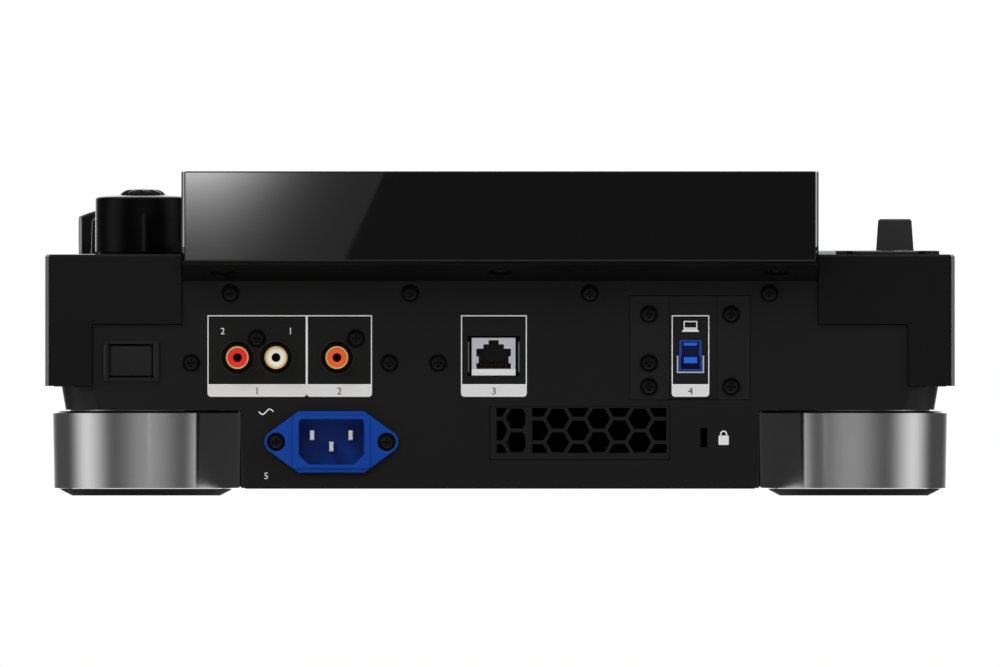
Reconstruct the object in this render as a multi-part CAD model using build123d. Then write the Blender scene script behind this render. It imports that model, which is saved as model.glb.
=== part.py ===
from build123d import *
import math
import os

# A tabletop DJ media player.  Millimetres, +Z up, +X to the user's right, front at -Y.
# The origin is on the table, in the middle of the whole object's footprint.

os.makedirs("parts", exist_ok=True)

# ---- driving dimensions: casing ------------------------------------------------------------
case_width = 329.0
case_depth = 431.0            # front face to the rear of the wings
display_overhang = 22.0       # how far the display stands out behind the wings
deck_height = 87.2            # deck surface above the table
case_wall = 3.0
deck_plate_thickness = 1.5
deck_skin = 2.5               # moulded skin under the deck plate
deck_plate_margin = 4.0       # rim of the case that stays bare round the plate
case_front_radius = 9.0
case_top_bevel = 0.7
wing_bevel = 1.25             # slant of the wings' outer rear edges, across
wing_bevel_length = 6.5       # and along the case
skirt_bottom = 39.6           # lower edge of the upper case
wing_step_height = 61.8       # underside of the wide part of each wing
wing_width = 49.5             # above the step
wing_foot_width = 17.0        # below it
fit_gap = 0.2                 # clearance between fixed case parts
running_gap = 0.06            # clearance of a shaft in its hole
cut_over = 1.0                # how far a cutter passes the face that it opens

# ---- driving dimensions: lower case --------------------------------------------------------
pan_side_margin = 6.0
pan_front_margin = 6.0
pan_corner_radius = 13.0
pan_height = 8.4
pan_taper = 10.0
pan_floor = 2.5
pan_wall = 4.5                # at the pan's top, where the taper is widest
pan_panel_slant = 2.3         # how far the panel narrows over the pan's height
pan_rear_opening_depth = 10.0
pan_rear_opening_margin = 6.0
lip_thickness = 2.0
tub_foot_gap = 0.3            # between the tub and the feet
panel_tub_slant = 1.7         # how much narrower the panel is at the tub's foot
tub_bottom = 2.7
tub_front_inset = 30.0
tub_wall = 2.5
post_radius = 3.5

# ---- driving dimensions: rear panel --------------------------------------------------------
panel_recess = 1.3            # panel face behind the wings' face
panel_thickness = 1.2
panel_top = 77.6
screw_head_radius = 3.1
screw_head_height = 2.0
screw_head_bevel = 0.7
screw_shank_radius = 1.5
screw_length = 7.0
screw_hole_gap = 0.1
screw_cross_reach = 1.7
screw_cross_width = 0.8
screw_cross_depth = 1.1
top_screw_height = 73.1
top_screws = (-97.5, -32.5, 32.5, 97.5)
socket_screw_height = 47.9
power_screw_offset = 21.7     # from the power button's middle
side_screw_gap = 18.7         # screw beside the jacks, from the digital jack's middle
link_screw_shift = 1.2        # screw beside the network socket, from half way to the last one

# ---- driving dimensions: sockets and rear controls -----------------------------------------
jack_height = 49.9
jack_pitch = 14.0
jack_pair_gap = 45.4          # pair's middle from the power button's
digital_jack_gap = 29.0       # from the pair's middle
digital_screw_gap = 7.1       # screw that holds the digital jack, from its middle
jack_sleeve_radius = 4.15
jack_sleeve_bore = 3.5
jack_pin_hole = 1.6
jack_panel_hole = 6.45
jack_collar_bore = 5.7
jack_body_half = 5.6
jack_body_rise = 5.2          # collar body above the jack's middle
jack_body_depth = 16.0
jack_reach = 8.0
jack_insert_inset = 0.7
jack_screw_rise = 6.9         # screws that hold the jacks, above their middles

link_x = 2.3
link_width = 16.0
link_bottom = 43.2            # also the top of the main board
link_height = 13.9
link_depth = 18.0
link_inset = 0.6              # shell's face behind the panel's
link_margin = (1.4, 0.3, 0.6)  # panel cut-out beyond the shell: sides, below, above
link_mouth_half_width = 6.2
link_mouth_rise = (2.6, 9.9)  # mouth's floor and shoulder above the shell's underside
link_steps = ((3.65, 11.6), (1.8, 13.1))
link_back_wall = 4.0
link_contact_count = 8
link_contact_pitch = 1.27
link_contact_width = 0.6
link_contact_height = 0.8
link_insert_thickness = 0.7

usb_b_x = -68.9
usb_b_bottom = 44.3
usb_b_step_rise = 6.3
usb_b_height = 12.1
usb_b_half_widths = (4.95, 4.2)
usb_b_shoulder = 0.8
usb_b_depth = 14.0
usb_b_wall = 0.5
usb_b_inset = 0.2
usb_b_foot_inset = 3.0        # also the insert's floor
usb_b_rim = 1.2               # insert round each opening
usb_b_tongue_half = 2.2
usb_b_tongue_height = 2.5
plate_x = (-90.6, -46.8)
plate_z = (34.5, 72.4)
plate_channel_x = (-78.7, -61.0)
plate_channel_depth = 0.8
plate_thickness = 1.6
plate_slot_screws = (39.3, 47.9)
plate_screw_height = 65.5
plate_screw_edge = 7.0
port_rim = 2.5                # hidden rim behind the rear panel
port_rim_below = 0.8
port_rim_lap = 1.0            # how far it laps the plate inside its edge

inlet_edge_gap = 32.7         # inlet's middle from the tub's side
inlet_z = 19.4
inlet_screw_spacing = 40.0
inlet_block_half = (13.9, 11.1)
inlet_block_corner = 2.0
inlet_ear_radius = 4.2
inlet_ear_sink = 1.2          # screw seats below the flange's face
inlet_flange_thickness = 2.4
inlet_collar_rise = 0.8       # raised block round the cavity
inlet_collar_half_height = 9.5
inlet_body_half = (13.2, 9.8)
inlet_body_depth = 20.0
inlet_cavity_half = (11.8, 8.2)
inlet_cavity_depth = 16.0
inlet_cavity_corner = 3.6
inlet_cavity_round = 1.3      # upper corners of the cavity
inlet_pin_spacing = 14.0
inlet_pin_size = (1.6, 3.6)
inlet_pin_length = 14.0
inlet_pin_bevel = 0.4
inlet_pin_raise = 2.4         # line and neutral blades above the inlet's middle
inlet_pin_drop = 1.7          # earth blade below it

lock_edge_gap = 20.0          # security slot's middle from the tub's side
lock_slot_z = 20.95
lock_slot_size = (2.4, 7.0)

vent_lock_gap = 12.1          # vent's edge from the security slot's middle
vent_inner_x = 3.9
vent_z = (12.8, 32.3)
vent_border = 2.4
vent_top_border = 0.6
hex_flat = 7.2
hex_web = 1.35
vent_bar_x = -10.4
vent_bar_width = 2.5
vent_thickness = 1.0
vent_sink = 0.4
vent_lip = 2.0
vent_lip_thickness = 0.8

power_inset = 31.1            # power button's middle from the case's side
power_z = 48.75
power_button_size = (15.1, 10.7)
power_frame_size = (19.9, 14.7)
power_frame_plate = 0.6
power_frame_rib = 1.6
power_frame_rib_rise = 1.4
power_well_depth = 10.0
power_well_floor = 2.0
power_gap = 0.7
power_travel = 1.2
power_button_rise = 1.4
power_button_depth = 5.0

# ---- driving dimensions: display -----------------------------------------------------------
display_depth = 138.5         # front edge to the rear of the gloss back
display_front_height = 2.8    # front edge of the housing above the deck
display_top = 117.3
display_chin = 84.8           # lower edge of the gloss back
display_chin_depth = 8.0      # chin's foot on the panel's top edge
display_cover_thickness = 4.0
display_cover_bevel = 0.5
display_wall = 2.8
glass_margin = 3.0
glass_thickness = 1.6
glass_rear_margin = 6.5
lcd_size = (206.0, 114.0, 4.0)
lcd_rear_margin = 9.0         # LCD's rear edge from the top of the housing
chin_screw_inset = 15.0       # outer screws from the display's sides
chin_recess_radius = 4.4
chin_recess_depth = 1.6
chin_boss_wall = 1.5
chin_head_gap = 0.2           # screw head below the chin's surface

# ---- driving dimensions: feet --------------------------------------------------------------
foot_side_inset = 36.5        # foot's middle from the case's side
foot_end_inset = 38.5         # and from its front and rear
foot_radius = 34.0
foot_draft = 0.5              # how much narrower the cup is at its foot
foot_bottom = 2.4
foot_gap = 0.4                # shadow gap between cup and pan
foot_bevel = 0.8
foot_wall = 3.0
foot_neck_inset = 6.0
pad_seat_depth = 4.0
pad_top_radius = 30.9
pad_bottom_radius = 27.0

# ---- driving dimensions: deck controls -----------------------------------------------------
key_gap = 0.4                 # gap round each key in the deck
key_travel = 0.8
key_rise = 1.4                # key top above the deck
key_bevel = 0.5
key_flange = 1.2              # how far a key's hidden flange stands out
key_flange_thickness = 1.5
key_hang_gap = 0.1
switch_size = 5.0
board_drop = 5.8              # board's top below the deck skin
board_thickness = 1.6
boss_radius = 3.0
boss_inset = 6.5              # from the case's sides
boss_display_gap = 39.0
boss_front_gaps = (56.5, 158.5, 206.5)
boss_band_x = (108.0, 10.0, 100.0)

hot_cue_display_gap = 22.0    # keys' middle line in front of the display
hot_cue_pitch = 27.5
hot_cue_count = 8
hot_cue_middle_x = -14.0
hot_cue_size = (22.5, 12.0)

small_key_size = (15.0, 9.0)
loop_key_inset = 15.5
loop_key_pitch = 18.0
loop_display_gap = 64.0
seek_key_size = (19.0, 10.5)
seek_key_inset = 15.1
seek_key_pitch = 22.0
track_front_gap = 116.5
search_front_gap = 136.5
sync_front_gap = 172.5

round_button_inset = 26.1
play_front_gap = 33.5
cue_front_gap = 77.5
round_button_radius = 15.0
round_rim_radius = 16.65
round_rim_rise = 1.2
round_button_travel = 1.2
round_button_sink = 0.2       # edge below the rim
round_button_edge = 0.6
round_button_dish = (3.0, 5.0, 0.5)  # where the dish starts and ends inwards, and its depth

lever_inset = 21.7
lever_front_gap = 180.5
lever_base_width = 13.8
lever_top_width = 12.0
lever_base_depth = 6.4
lever_top_depth = 5.0
lever_height = 12.8           # above the deck
lever_edge = 0.6
lever_pivot_drop = 13.0       # pivot below the deck
lever_pivot_radius = 1.5
lever_swing = 15.0
lever_ear = 3.0
lever_ear_half = 4.0

browse_inset = 35.2
browse_radius = 17.05
browse_rise = 21.0
browse_edge = 0.8
browse_crown = 0.6
browse_cap_radius = 8.3
browse_cap_rise = 2.7
browse_cap_edge = 1.2
browse_cap_lobes = 8
browse_lobe_radius = 1.6
browse_lobe_depth = 1.0
browse_travel = 0.8
shaft_radius = 3.0
shaft_hole_gap = 1.0
plunger_half = 4.5
plunger_depth = 2.0           # plunger's end inside the encoder
plunger_top_gap = 0.6
encoder_half = 7.5
encoder_depth = 9.6
knob_float = 1.2              # knob's underside above the deck
knob_wall = 2.0
knob_hollow = 3.0

side_column_inset = 25.5      # tempo fader, sync key and jog feel knob
feel_display_gap = 68.0
feel_radius = 9.0
feel_top_radius = 8.2
feel_rise = 13.0
feel_flutes = 12
feel_flute_radius = 1.6
feel_flute_depth = 0.5
feel_edge = 0.8
feel_pointer = 1.0

tempo_front_gap = 91.5
tempo_travel = 50.0
tempo_cap_size = (26.8, 15.0)
tempo_cap_shoulder = 13.4
tempo_cap_rise = 17.4
tempo_cap_float = 0.8
tempo_ribs = (0.45, 0.75)     # shares of the cap's half depth
tempo_rib_width = 0.8
tempo_rib_inset = 1.0
tempo_notch = 1.2
tempo_slot = 3.0
tempo_blade = 2.4
tempo_blade_depth = 6.0
tempo_body_width = 14.0
tempo_body_height = 12.0
tempo_body_end = 6.0
tempo_body_wall = 2.0

media_inset = 25.0
media_rear_gap = 54.5
media_door_size = (24.0, 16.0)
media_lap = 1.2               # how far the door laps over the opening's edge
media_bezel_size = (35.0, 42.0)
media_hinge_rise = 0.2        # hinge's middle above the deck
media_barrel_radius = 1.0
media_pin_radius = 0.6
media_lug = 2.0
media_trough_floor = 0.3
media_finger_half = 5.0
media_finger_inset = 1.2
media_finger_depth = 0.4
media_pocket_depth = 10.0
media_pocket_wall = 2.0
usb_a_size = (14.5, 6.8)
usb_a_rise = 2.8              # socket mouth above the pocket's floor
usb_a_depth = 18.0
usb_a_wall = 0.6
usb_a_back = 2.0

# ---- driving dimensions: jog wheel ---------------------------------------------------------
jog_front_gap = 134.5
jog_side_gap = 61.5           # wheel's rim from the case's side
jog_rise = 14.0
jog_float = 1.0               # rim's underside above the deck
jog_skirt_inset = 8.0
jog_hole_gap = 1.5
jog_skirt_drop = 6.0
jog_skirt_wall = 4.0
jog_scallops = 36
jog_scallop_radius = 5.5
jog_scallop_depth = 1.3
jog_rim_width = 11.0
jog_rim_edge = (1.0, 4.0, 3.0, 5.0)
jog_shelf = 6.0
jog_plate_thickness = 1.6
jog_plate_sink = 0.4
jog_window_radius = 36.0
jog_window_wall = 3.0
jog_window_bevel = 1.0
jog_display_radius = 35.0
jog_display_thickness = 5.0
jog_display_sink = 4.0        # display's underside seat below the wheel's top, with its thickness
jog_display_edge = (2.0, 1.5, 0.5)
jog_post_radius = 12.0
jog_post_shoulder = 2.0
jog_post_rise = 1.0
jog_bearing_radius = 20.0
jog_bearing_height = 8.0
jog_race_groove = (1.5, 1.0)  # half width and depth
jog_hub_wall = 4.0
jog_web = 3.0
jog_base_floor = 2.0
jog_base_depth = 15.0
jog_base_flange = 7.0

# ---- driving dimensions: boards ------------------------------------------------------------
key_board_gap = 1.0           # board's edge from the case's wall
key_board_front_inset = 14.0
key_board_left_width = 54.5   # from the case's side
key_board_right_width = 46.5
key_board_band = (44.0, 6.0)  # rear band, from and to the display's front edge
key_board_right_front = 160.5
key_board_jog_gap = 3.0
main_board_overhang = 18.3    # board's side beyond the tub's
main_board_depth = 112.0
main_board_post_gap = 10.3    # posts from the tub's side
main_board_post_inset = (20.0, 100.0)
chips = ((-40.0, 10.0, 45.0, 90.0, 5.0), (30.0, 62.0, 60.0, 84.0, 2.0),
         (-92.0, -62.0, 60.0, 84.0, 2.0))  # x from and to, inset from and to, height
supply_size = (98.0, 82.0)
supply_side_gap = 3.5
supply_rear_inset = 36.0
supply_rise = 4.0
supply_post_inset = 6.0
transformer = (34.0, 64.0, 26.0, 56.0, 18.0)
capacitor_places = ((78.0, 16.0), (78.0, 40.0), (78.0, 64.0))
capacitor_radius = 7.0
capacitor_height = 16.0
heat_sink = (6.0, 22.0, 8.0, 3.0)  # x from and to, end inset, base height
heat_sink_fins = 4
heat_sink_pitch = 4.4
heat_sink_edge = 0.9
heat_sink_fin = (1.4, 14.0)

# ---- places worked out from the sizes above ------------------------------------------------
total_depth = case_depth + display_overhang
front_y = -total_depth / 2
display_rear_y = total_depth / 2
display_front_y = display_rear_y - display_depth
wing_y = display_rear_y - display_overhang
panel_y = wing_y - panel_recess
panel_back_y = panel_y - panel_thickness
half_width = case_width / 2
display_half_width = half_width - wing_width
wing_foot_inner_x = half_width - wing_foot_width
plate_bottom = deck_height - deck_plate_thickness
skin_bottom = plate_bottom - deck_skin
pan_half_width = half_width - pan_side_margin
pan_top = skirt_bottom - fit_gap
pan_bottom = pan_top - pan_height
panel_pan_half_width = wing_foot_inner_x - pan_panel_slant
foot_x = half_width - foot_side_inset
foot_top = pan_bottom - foot_gap
tub_half_width = foot_x - foot_radius - tub_foot_gap
board_top = skin_bottom - board_drop
board_bottom = board_top - board_thickness
key_flange_bottom = skin_bottom - key_hang_gap - key_flange_thickness
main_board_half_width = tub_half_width + main_board_overhang
main_board_post_x = tub_half_width + main_board_post_gap

power_x = half_width - power_inset
jack_pair_middle = power_x - jack_pair_gap
digital_jack_x = jack_pair_middle - digital_jack_gap
jacks = {"red": jack_pair_middle + jack_pitch / 2, "white": jack_pair_middle - jack_pitch / 2,
         "orange": digital_jack_x}
link_top = link_bottom + link_height
usb_b_step = usb_b_bottom + usb_b_step_rise
usb_b_top = usb_b_bottom + usb_b_height
inlet_x = tub_half_width - inlet_edge_gap
inlet_mouth_y = panel_y + inlet_flange_thickness + inlet_collar_rise
lock_slot_x = lock_edge_gap - tub_half_width
vent_x = (lock_slot_x + vent_lock_gap, vent_inner_x)
side_screw_x = digital_jack_x - side_screw_gap
link_screw_x = (link_x + side_screw_x) / 2 + link_screw_shift
panel_screws = [(x, top_screw_height) for x in top_screws]
panel_screws += [(x, socket_screw_height)
                 for x in (power_x - power_screw_offset, side_screw_x, link_screw_x)]
panel_screws += [(x, jack_height + jack_screw_rise)
                 for x in (jack_pair_middle, digital_jack_x - digital_screw_gap)]
plate_screws = [(plate_x[1] - plate_screw_edge, z) for z in (*plate_slot_screws, plate_screw_height)]
plate_screws += [(plate_x[0] + plate_screw_edge, z)
                 for z in (plate_slot_screws[0], plate_screw_height)]

hot_cue_y = display_front_y - hot_cue_display_gap
hot_cue_first_x = hot_cue_middle_x - hot_cue_pitch * (hot_cue_count - 1) / 2
loop_y = display_front_y - loop_display_gap
loop_keys = {name: (loop_key_inset - half_width + number * loop_key_pitch, loop_y)
             for number, name in enumerate(("loop_in_key", "loop_out_key", "reloop_key"))}
seek_x = seek_key_inset - half_width
track_y = front_y + track_front_gap
search_y = front_y + search_front_gap
seek_keys = {"track_back_key": (seek_x, track_y), "search_back_key": (seek_x, search_y),
             "track_forward_key": (seek_x + seek_key_pitch, track_y),
             "search_forward_key": (seek_x + seek_key_pitch, search_y)}
side_column_x = half_width - side_column_inset
sync_key = (side_column_x, front_y + sync_front_gap)
feel_knob = (side_column_x, display_front_y - feel_display_gap)
tempo_x = side_column_x
tempo_y = front_y + tempo_front_gap
round_button_x = round_button_inset - half_width
round_buttons = {"play_button": front_y + play_front_gap, "cue_button": front_y + cue_front_gap}
lever_x = lever_inset - half_width
lever_y = front_y + lever_front_gap
lever_pivot_z = deck_height - lever_pivot_drop
browse_x = half_width - browse_inset
browse_y = hot_cue_y
media_door = (media_inset - half_width, wing_y - media_rear_gap)
media_hinge_z = deck_height + media_hinge_rise

jog_y = front_y + jog_front_gap
jog_radius = half_width - jog_side_gap
jog_skirt_radius = jog_radius - jog_skirt_inset
jog_top = deck_height + jog_rise


# ---- shape helpers -------------------------------------------------------------------------
def block(x0, x1, y0, y1, z0, z1):
    """A box between two corners."""
    middle = Pos((x0 + x1) / 2, (y0 + y1) / 2, (z0 + z1) / 2)
    return middle * Box(x1 - x0, y1 - y0, z1 - z0)


def post(x, y, z0, z1, radius):
    """An upright cylinder."""
    return Pos(x, y, (z0 + z1) / 2) * Cylinder(radius, z1 - z0)


def rod(x, z, y0, y1, radius):
    """A cylinder that lies along Y."""
    return Pos(x, (y0 + y1) / 2, z) * Rot(90, 0, 0) * Cylinder(radius, y1 - y0)


def prism_y(outline, y0, y1):
    """A sketch drawn in X and Z, carried from y0 to y1."""
    return extrude(Plane.XZ.offset(-y1) * outline, amount=y1 - y0)


def prism_x(outline, x0, x1):
    """A sketch drawn in Y and Z, carried from x0 to x1."""
    return extrude(Plane.YZ.offset(x0) * outline, amount=x1 - x0)


def prism_z(outline, z0, z1):
    """A sketch drawn in X and Y, carried from z0 to z1."""
    return extrude(Plane.XY.offset(z0) * outline, amount=z1 - z0)


def mirrored(points):
    """A closed half outline on the +X side, given bottom to top, completed by its mirror image."""
    return Polygon(*points, *[(-x, z) for x, z in reversed(points)], align=None)


def turned(profile, x, y):
    """A profile of (radius, height) points turned about an upright axis at x, y."""
    return Pos(x, y, 0) * revolve(Plane.XZ * Polygon(*profile, align=None), Axis.Z)


def around(x, y, radius, count, start=0.0):
    """Evenly spaced places on a circle."""
    for step in range(count):
        angle = math.radians(start + 360.0 * step / count)
        yield x + radius * math.cos(angle), y + radius * math.sin(angle)


def save(name, *solids):
    """Write one node: a single solid, or a group of separate ones."""
    shape = solids[0] if len(solids) == 1 else Compound(children=list(solids))
    export_step(shape, f"parts/{name}.step")


# ---- deck openings, shared by the deck plate and the skin of the upper case ----------------
def key_places():
    """Every rectangular deck key: name, middle and size."""
    for number in range(hot_cue_count):
        x = hot_cue_first_x + number * hot_cue_pitch
        yield f"hot_cue_key_{number + 1}", (x, hot_cue_y), hot_cue_size
    for name, place in loop_keys.items():
        yield name, place, small_key_size
    for name, place in seek_keys.items():
        yield name, place, seek_key_size
    yield "sync_key", sync_key, small_key_size


def lever_slot_size():
    """Slot that clears the direction lever over its whole swing."""
    sweep = 2 * lever_pivot_drop * math.tan(math.radians(lever_swing))
    return lever_base_width + 2 * key_gap, lever_base_depth + sweep + 4 * key_gap


def deck_openings(z0, z1):
    """Cutters for everything that passes through the deck."""
    cutters = []
    for _, (x, y), (w, d) in key_places():
        cutters.append(block(x - w / 2 - key_gap, x + w / 2 + key_gap,
                             y - d / 2 - key_gap, y + d / 2 + key_gap, z0, z1))
    for y in round_buttons.values():
        cutters.append(post(round_button_x, y, z0, z1, round_button_radius + key_gap))
    w, d = lever_slot_size()
    cutters.append(block(lever_x - w / 2, lever_x + w / 2, lever_y - d / 2, lever_y + d / 2, z0, z1))
    cutters.append(post(browse_x, browse_y, z0, z1, shaft_radius + shaft_hole_gap))
    cutters.append(post(*feel_knob, z0, z1, shaft_radius + shaft_hole_gap))
    reach = tempo_travel + tempo_cap_size[1] / 2
    cutters.append(block(tempo_x - tempo_slot / 2, tempo_x + tempo_slot / 2,
                         tempo_y - reach, tempo_y + reach, z0, z1))
    cutters.append(post(0, jog_y, z0, z1, jog_skirt_radius + jog_hole_gap))
    return cutters


def media_opening(z0, z1):
    """Opening under the media door, smaller than the door by its lap all round."""
    x, y = media_door
    w, d = (size / 2 - media_lap for size in media_door_size)
    return block(x - w, x + w, y - d, y + d, z0, z1)


def media_bezel(gap, z0, z1):
    """The block round the media door that the deck leaves free for the bay's bezel."""
    x, y = media_door
    w, d = (size / 2 - gap for size in media_bezel_size)
    return block(x - w, x + w, y - d, y + d, z0, z1)


def hinge_y():
    """Middle of the media door's hinge."""
    return media_door[1] + media_door_size[1] / 2 + media_barrel_radius


# ---- casing --------------------------------------------------------------------------------
def lever_ears():
    """Two ears under the deck skin that carry the direction lever's trunnions."""
    ears = []
    for side in (-1, 1):
        inner = lever_x + side * (lever_base_width / 2 + 2 * key_gap)
        outer = inner + side * lever_ear
        half = lever_ear_half
        ear = block(min(inner, outer), max(inner, outer), lever_y - half, lever_y + half,
                    lever_pivot_z - half, skin_bottom)
        bore = Pos((inner + outer) / 2, lever_y, lever_pivot_z) * Rot(0, 90, 0)
        ears.append(ear - bore * Cylinder(lever_pivot_radius + running_gap, 2 * lever_ear))
    return ears


def board_boss_places():
    """Where the key board hangs from the deck skin."""
    edge = half_width - boss_inset
    rear = display_front_y - boss_display_gap
    front, left, right = (front_y + gap for gap in boss_front_gaps)
    return [(-edge, front), (-edge, left), (-edge, rear), (edge, rear), (edge, right),
            (-boss_band_x[0], rear), (boss_band_x[1], rear), (boss_band_x[2], rear)]


def media_floor():
    """Floor of the pocket below the media door."""
    return skin_bottom - media_pocket_depth


def make_media_tray():
    """Open tray under the media door's bezel, with the socket's hole in its floor."""
    x, y = media_door
    w, d = (size / 2 - media_lap + media_pocket_wall for size in media_door_size)
    tray = block(x - w, x + w, y - d, y + d, media_floor() - media_pocket_wall, skin_bottom)
    tray -= media_opening(media_floor(), skin_bottom + cut_over)
    return tray - usb_a_room(running_gap)


def make_media_frame():
    """Bezel flush with the deck, with a trough for the door's barrel between two lugs."""
    x = media_door[0]
    frame = media_bezel(fit_gap, skin_bottom, deck_height)
    frame -= media_opening(skin_bottom - cut_over, deck_height + cut_over)
    half = media_door_size[0] / 2
    y, reach = hinge_y(), media_barrel_radius + key_gap
    frame -= block(x - half, x + half, y - reach, y + reach, plate_bottom + media_trough_floor,
                   deck_height + cut_over)
    for side in (-1, 1):
        inner = x + side * half
        outer = inner + side * media_lug
        frame += block(min(inner, outer), max(inner, outer), y - reach, y + reach, deck_height,
                       media_hinge_z + media_barrel_radius)
    bore = Pos(x, y, media_hinge_z) * Rot(0, 90, 0)
    return frame - bore * Cylinder(media_pin_radius + running_gap, 2 * (half + media_lug))


def usb_a_room(gap):
    """Space that the memory-stick socket takes through the pocket's floor."""
    x, y = media_door
    w, d = (size / 2 + gap for size in usb_a_size)
    top = media_floor() + usb_a_rise
    return block(x - w, x + w, y - d, y + d, top - usb_a_depth, top)


def make_upper_case():
    """The moulded shell: four walls, the deck skin and the two L-shaped rear wings."""
    outline = mirrored([(half_width, front_y), (half_width, wing_y - wing_bevel_length),
                        (half_width - wing_bevel, wing_y)])
    shell = prism_z(outline, skirt_bottom, deck_height)
    uprights = shell.edges().filter_by(Axis.Z).sort_by(Axis.Y)
    shell = fillet(uprights[:2], case_front_radius)
    shell = chamfer(shell.faces().sort_by(Axis.Z)[-1].edges(), case_top_bevel)
    shell -= block(-half_width + case_wall, half_width - case_wall, front_y + case_wall,
                   wing_y - case_wall, skirt_bottom - cut_over, skin_bottom)
    plate = deck_plate_outline(0)
    shell -= prism_z(plate, plate_bottom, deck_height + cut_over)
    # The rear opening between the wings, narrow above the step and wide below it.
    wide, narrow = wing_foot_inner_x + fit_gap, display_half_width + fit_gap
    opening = mirrored([(wide, skirt_bottom - cut_over), (wide, wing_step_height + fit_gap),
                        (narrow, wing_step_height + fit_gap), (narrow, deck_height + cut_over)])
    shell -= prism_y(opening, wing_y - case_wall - cut_over, wing_y + cut_over)
    shell -= block(-narrow, narrow, chin_front_y() - fit_gap, wing_y + cut_over,
                   skin_bottom - cut_over, deck_height + cut_over)
    for cutter in deck_openings(skin_bottom - cut_over, deck_height + cut_over):
        shell -= cutter
    shell -= media_bezel(0, skin_bottom - cut_over, deck_height)
    for x, y in board_boss_places():
        shell += post(x, y, board_top, skin_bottom, boss_radius)
    for ear in lever_ears():
        shell += ear
    return shell


def deck_plate_outline(gap):
    """The deck plate's outline: a rectangle with a notch where the display stands."""
    edge = half_width - deck_plate_margin - gap
    notch = display_half_width + deck_plate_margin + gap
    front = front_y + deck_plate_margin + gap
    rear = wing_y - deck_plate_margin - gap
    notch_y = display_front_y - 2 * fit_gap - gap
    return mirrored([(edge, front), (edge, rear), (notch, rear), (notch, notch_y)])


def make_deck_plate():
    """The thin metal plate let into the deck, with rims round the two large buttons."""
    plate = prism_z(deck_plate_outline(fit_gap), plate_bottom, deck_height)
    for y in round_buttons.values():
        plate += post(round_button_x, y, plate_bottom, deck_height + round_rim_rise,
                      round_rim_radius)
    for cutter in deck_openings(plate_bottom - cut_over, deck_height + round_rim_rise + cut_over):
        plate -= cutter
    return plate - media_bezel(0, plate_bottom - cut_over, deck_height + cut_over)


def tub_outline(inset, top):
    """The deep middle part in section."""
    return mirrored([(tub_half_width - inset, tub_bottom + inset), (tub_half_width - inset, top)])


def make_lower_case():
    """Shallow tapered pan with the deep tub between the feet, open towards the rear panel."""
    pan_front = front_y + pan_front_margin
    depth = panel_back_y - pan_front
    middle_y = (panel_back_y + pan_front) / 2
    outline = Pos(0, middle_y) * RectangleRounded(2 * pan_half_width, depth, pan_corner_radius)
    pan = extrude(Plane.XY.offset(pan_top) * outline, amount=-pan_height, taper=pan_taper)
    pan += prism_y(mirrored([(panel_pan_half_width, pan_bottom), (wing_foot_inner_x, pan_top)]),
                   panel_back_y - 2 * pan_corner_radius, panel_back_y)
    inside = Pos(0, middle_y) * RectangleRounded(
        2 * (pan_half_width - pan_wall), depth - 2 * pan_wall, pan_corner_radius - pan_wall)
    pan -= prism_z(inside, pan_bottom + pan_floor, pan_top + cut_over)
    # Lip that reaches into the upper case all round.
    lip_x = half_width - case_wall - fit_gap
    lip_y0, lip_y1 = front_y + case_wall + fit_gap, wing_y - case_wall - fit_gap
    inner_y = middle_y - depth / 2 + pan_wall
    lip = block(-lip_x, lip_x, lip_y0, lip_y1, pan_top, pan_top + lip_thickness)
    lip -= block(-pan_half_width + pan_wall, pan_half_width - pan_wall, inner_y,
                 lip_y1 + cut_over, pan_top - cut_over, pan_top + lip_thickness + cut_over)
    front_corners = lip.edges().filter_by(Axis.Z).sort_by(Axis.Y)[:2]
    pan += fillet(front_corners, case_front_radius - case_wall)
    tub_front = front_y + tub_front_inset
    tub = prism_y(tub_outline(0, pan_bottom + pan_floor), tub_front, panel_back_y)
    tub_room = prism_y(tub_outline(tub_wall, pan_top + cut_over), tub_front + tub_wall,
                       panel_back_y + cut_over)
    case = pan + tub - tub_room
    # The panel covers this opening behind the sockets.
    opening = panel_pan_half_width - pan_rear_opening_margin
    case -= block(-opening, opening, panel_back_y - pan_rear_opening_depth,
                  panel_back_y + cut_over, pan_bottom + pan_floor, pan_top + cut_over)
    for x, y in main_board_posts():
        case += post(x, y, pan_bottom + pan_floor, link_bottom - board_thickness, post_radius)
    for x, y in supply_posts():
        case += post(x, y, tub_bottom + tub_wall, supply_bottom(), post_radius)
    return case


def main_board_posts():
    """Posts that carry the main board, outside the tub."""
    return [(side * main_board_post_x, panel_back_y - inset)
            for side in (-1, 1) for inset in main_board_post_inset]


def supply_posts():
    """Posts that carry the power supply in the tub."""
    x0, x1, y0, y1 = supply_edges()
    inset = supply_post_inset
    return [(x, y) for x in (x0 + inset, x1 - inset) for y in (y0 + inset, y1 - inset)]


def supply_edges():
    """The power supply board's edges: low and high X, low and high Y."""
    x1 = tub_half_width - tub_wall - supply_side_gap
    y1 = panel_back_y - supply_rear_inset
    return x1 - supply_size[0], x1, y1 - supply_size[1], y1


def supply_bottom():
    """Underside of the power supply's board."""
    return tub_bottom + tub_wall + supply_rise


# ---- rear panel and what sits in it --------------------------------------------------------
def screw(x, z, face_y):
    """A pan-head cross-recess screw driven forwards into a plate whose face is at face_y."""
    head = rod(x, z, face_y, face_y + screw_head_height, screw_head_radius)
    head = chamfer(head.edges().sort_by(Axis.Y)[-1:], screw_head_bevel)
    floor_y = face_y + screw_head_height - screw_cross_depth
    reach, half = screw_cross_reach, screw_cross_width / 2
    slot = block(x - reach, x + reach, floor_y, floor_y + screw_length, z - half, z + half)
    slot += block(x - half, x + half, floor_y, floor_y + screw_length, z - reach, z + reach)
    shank = rod(x, z, face_y - screw_length, face_y, screw_shank_radius)
    return head + shank - slot


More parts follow.
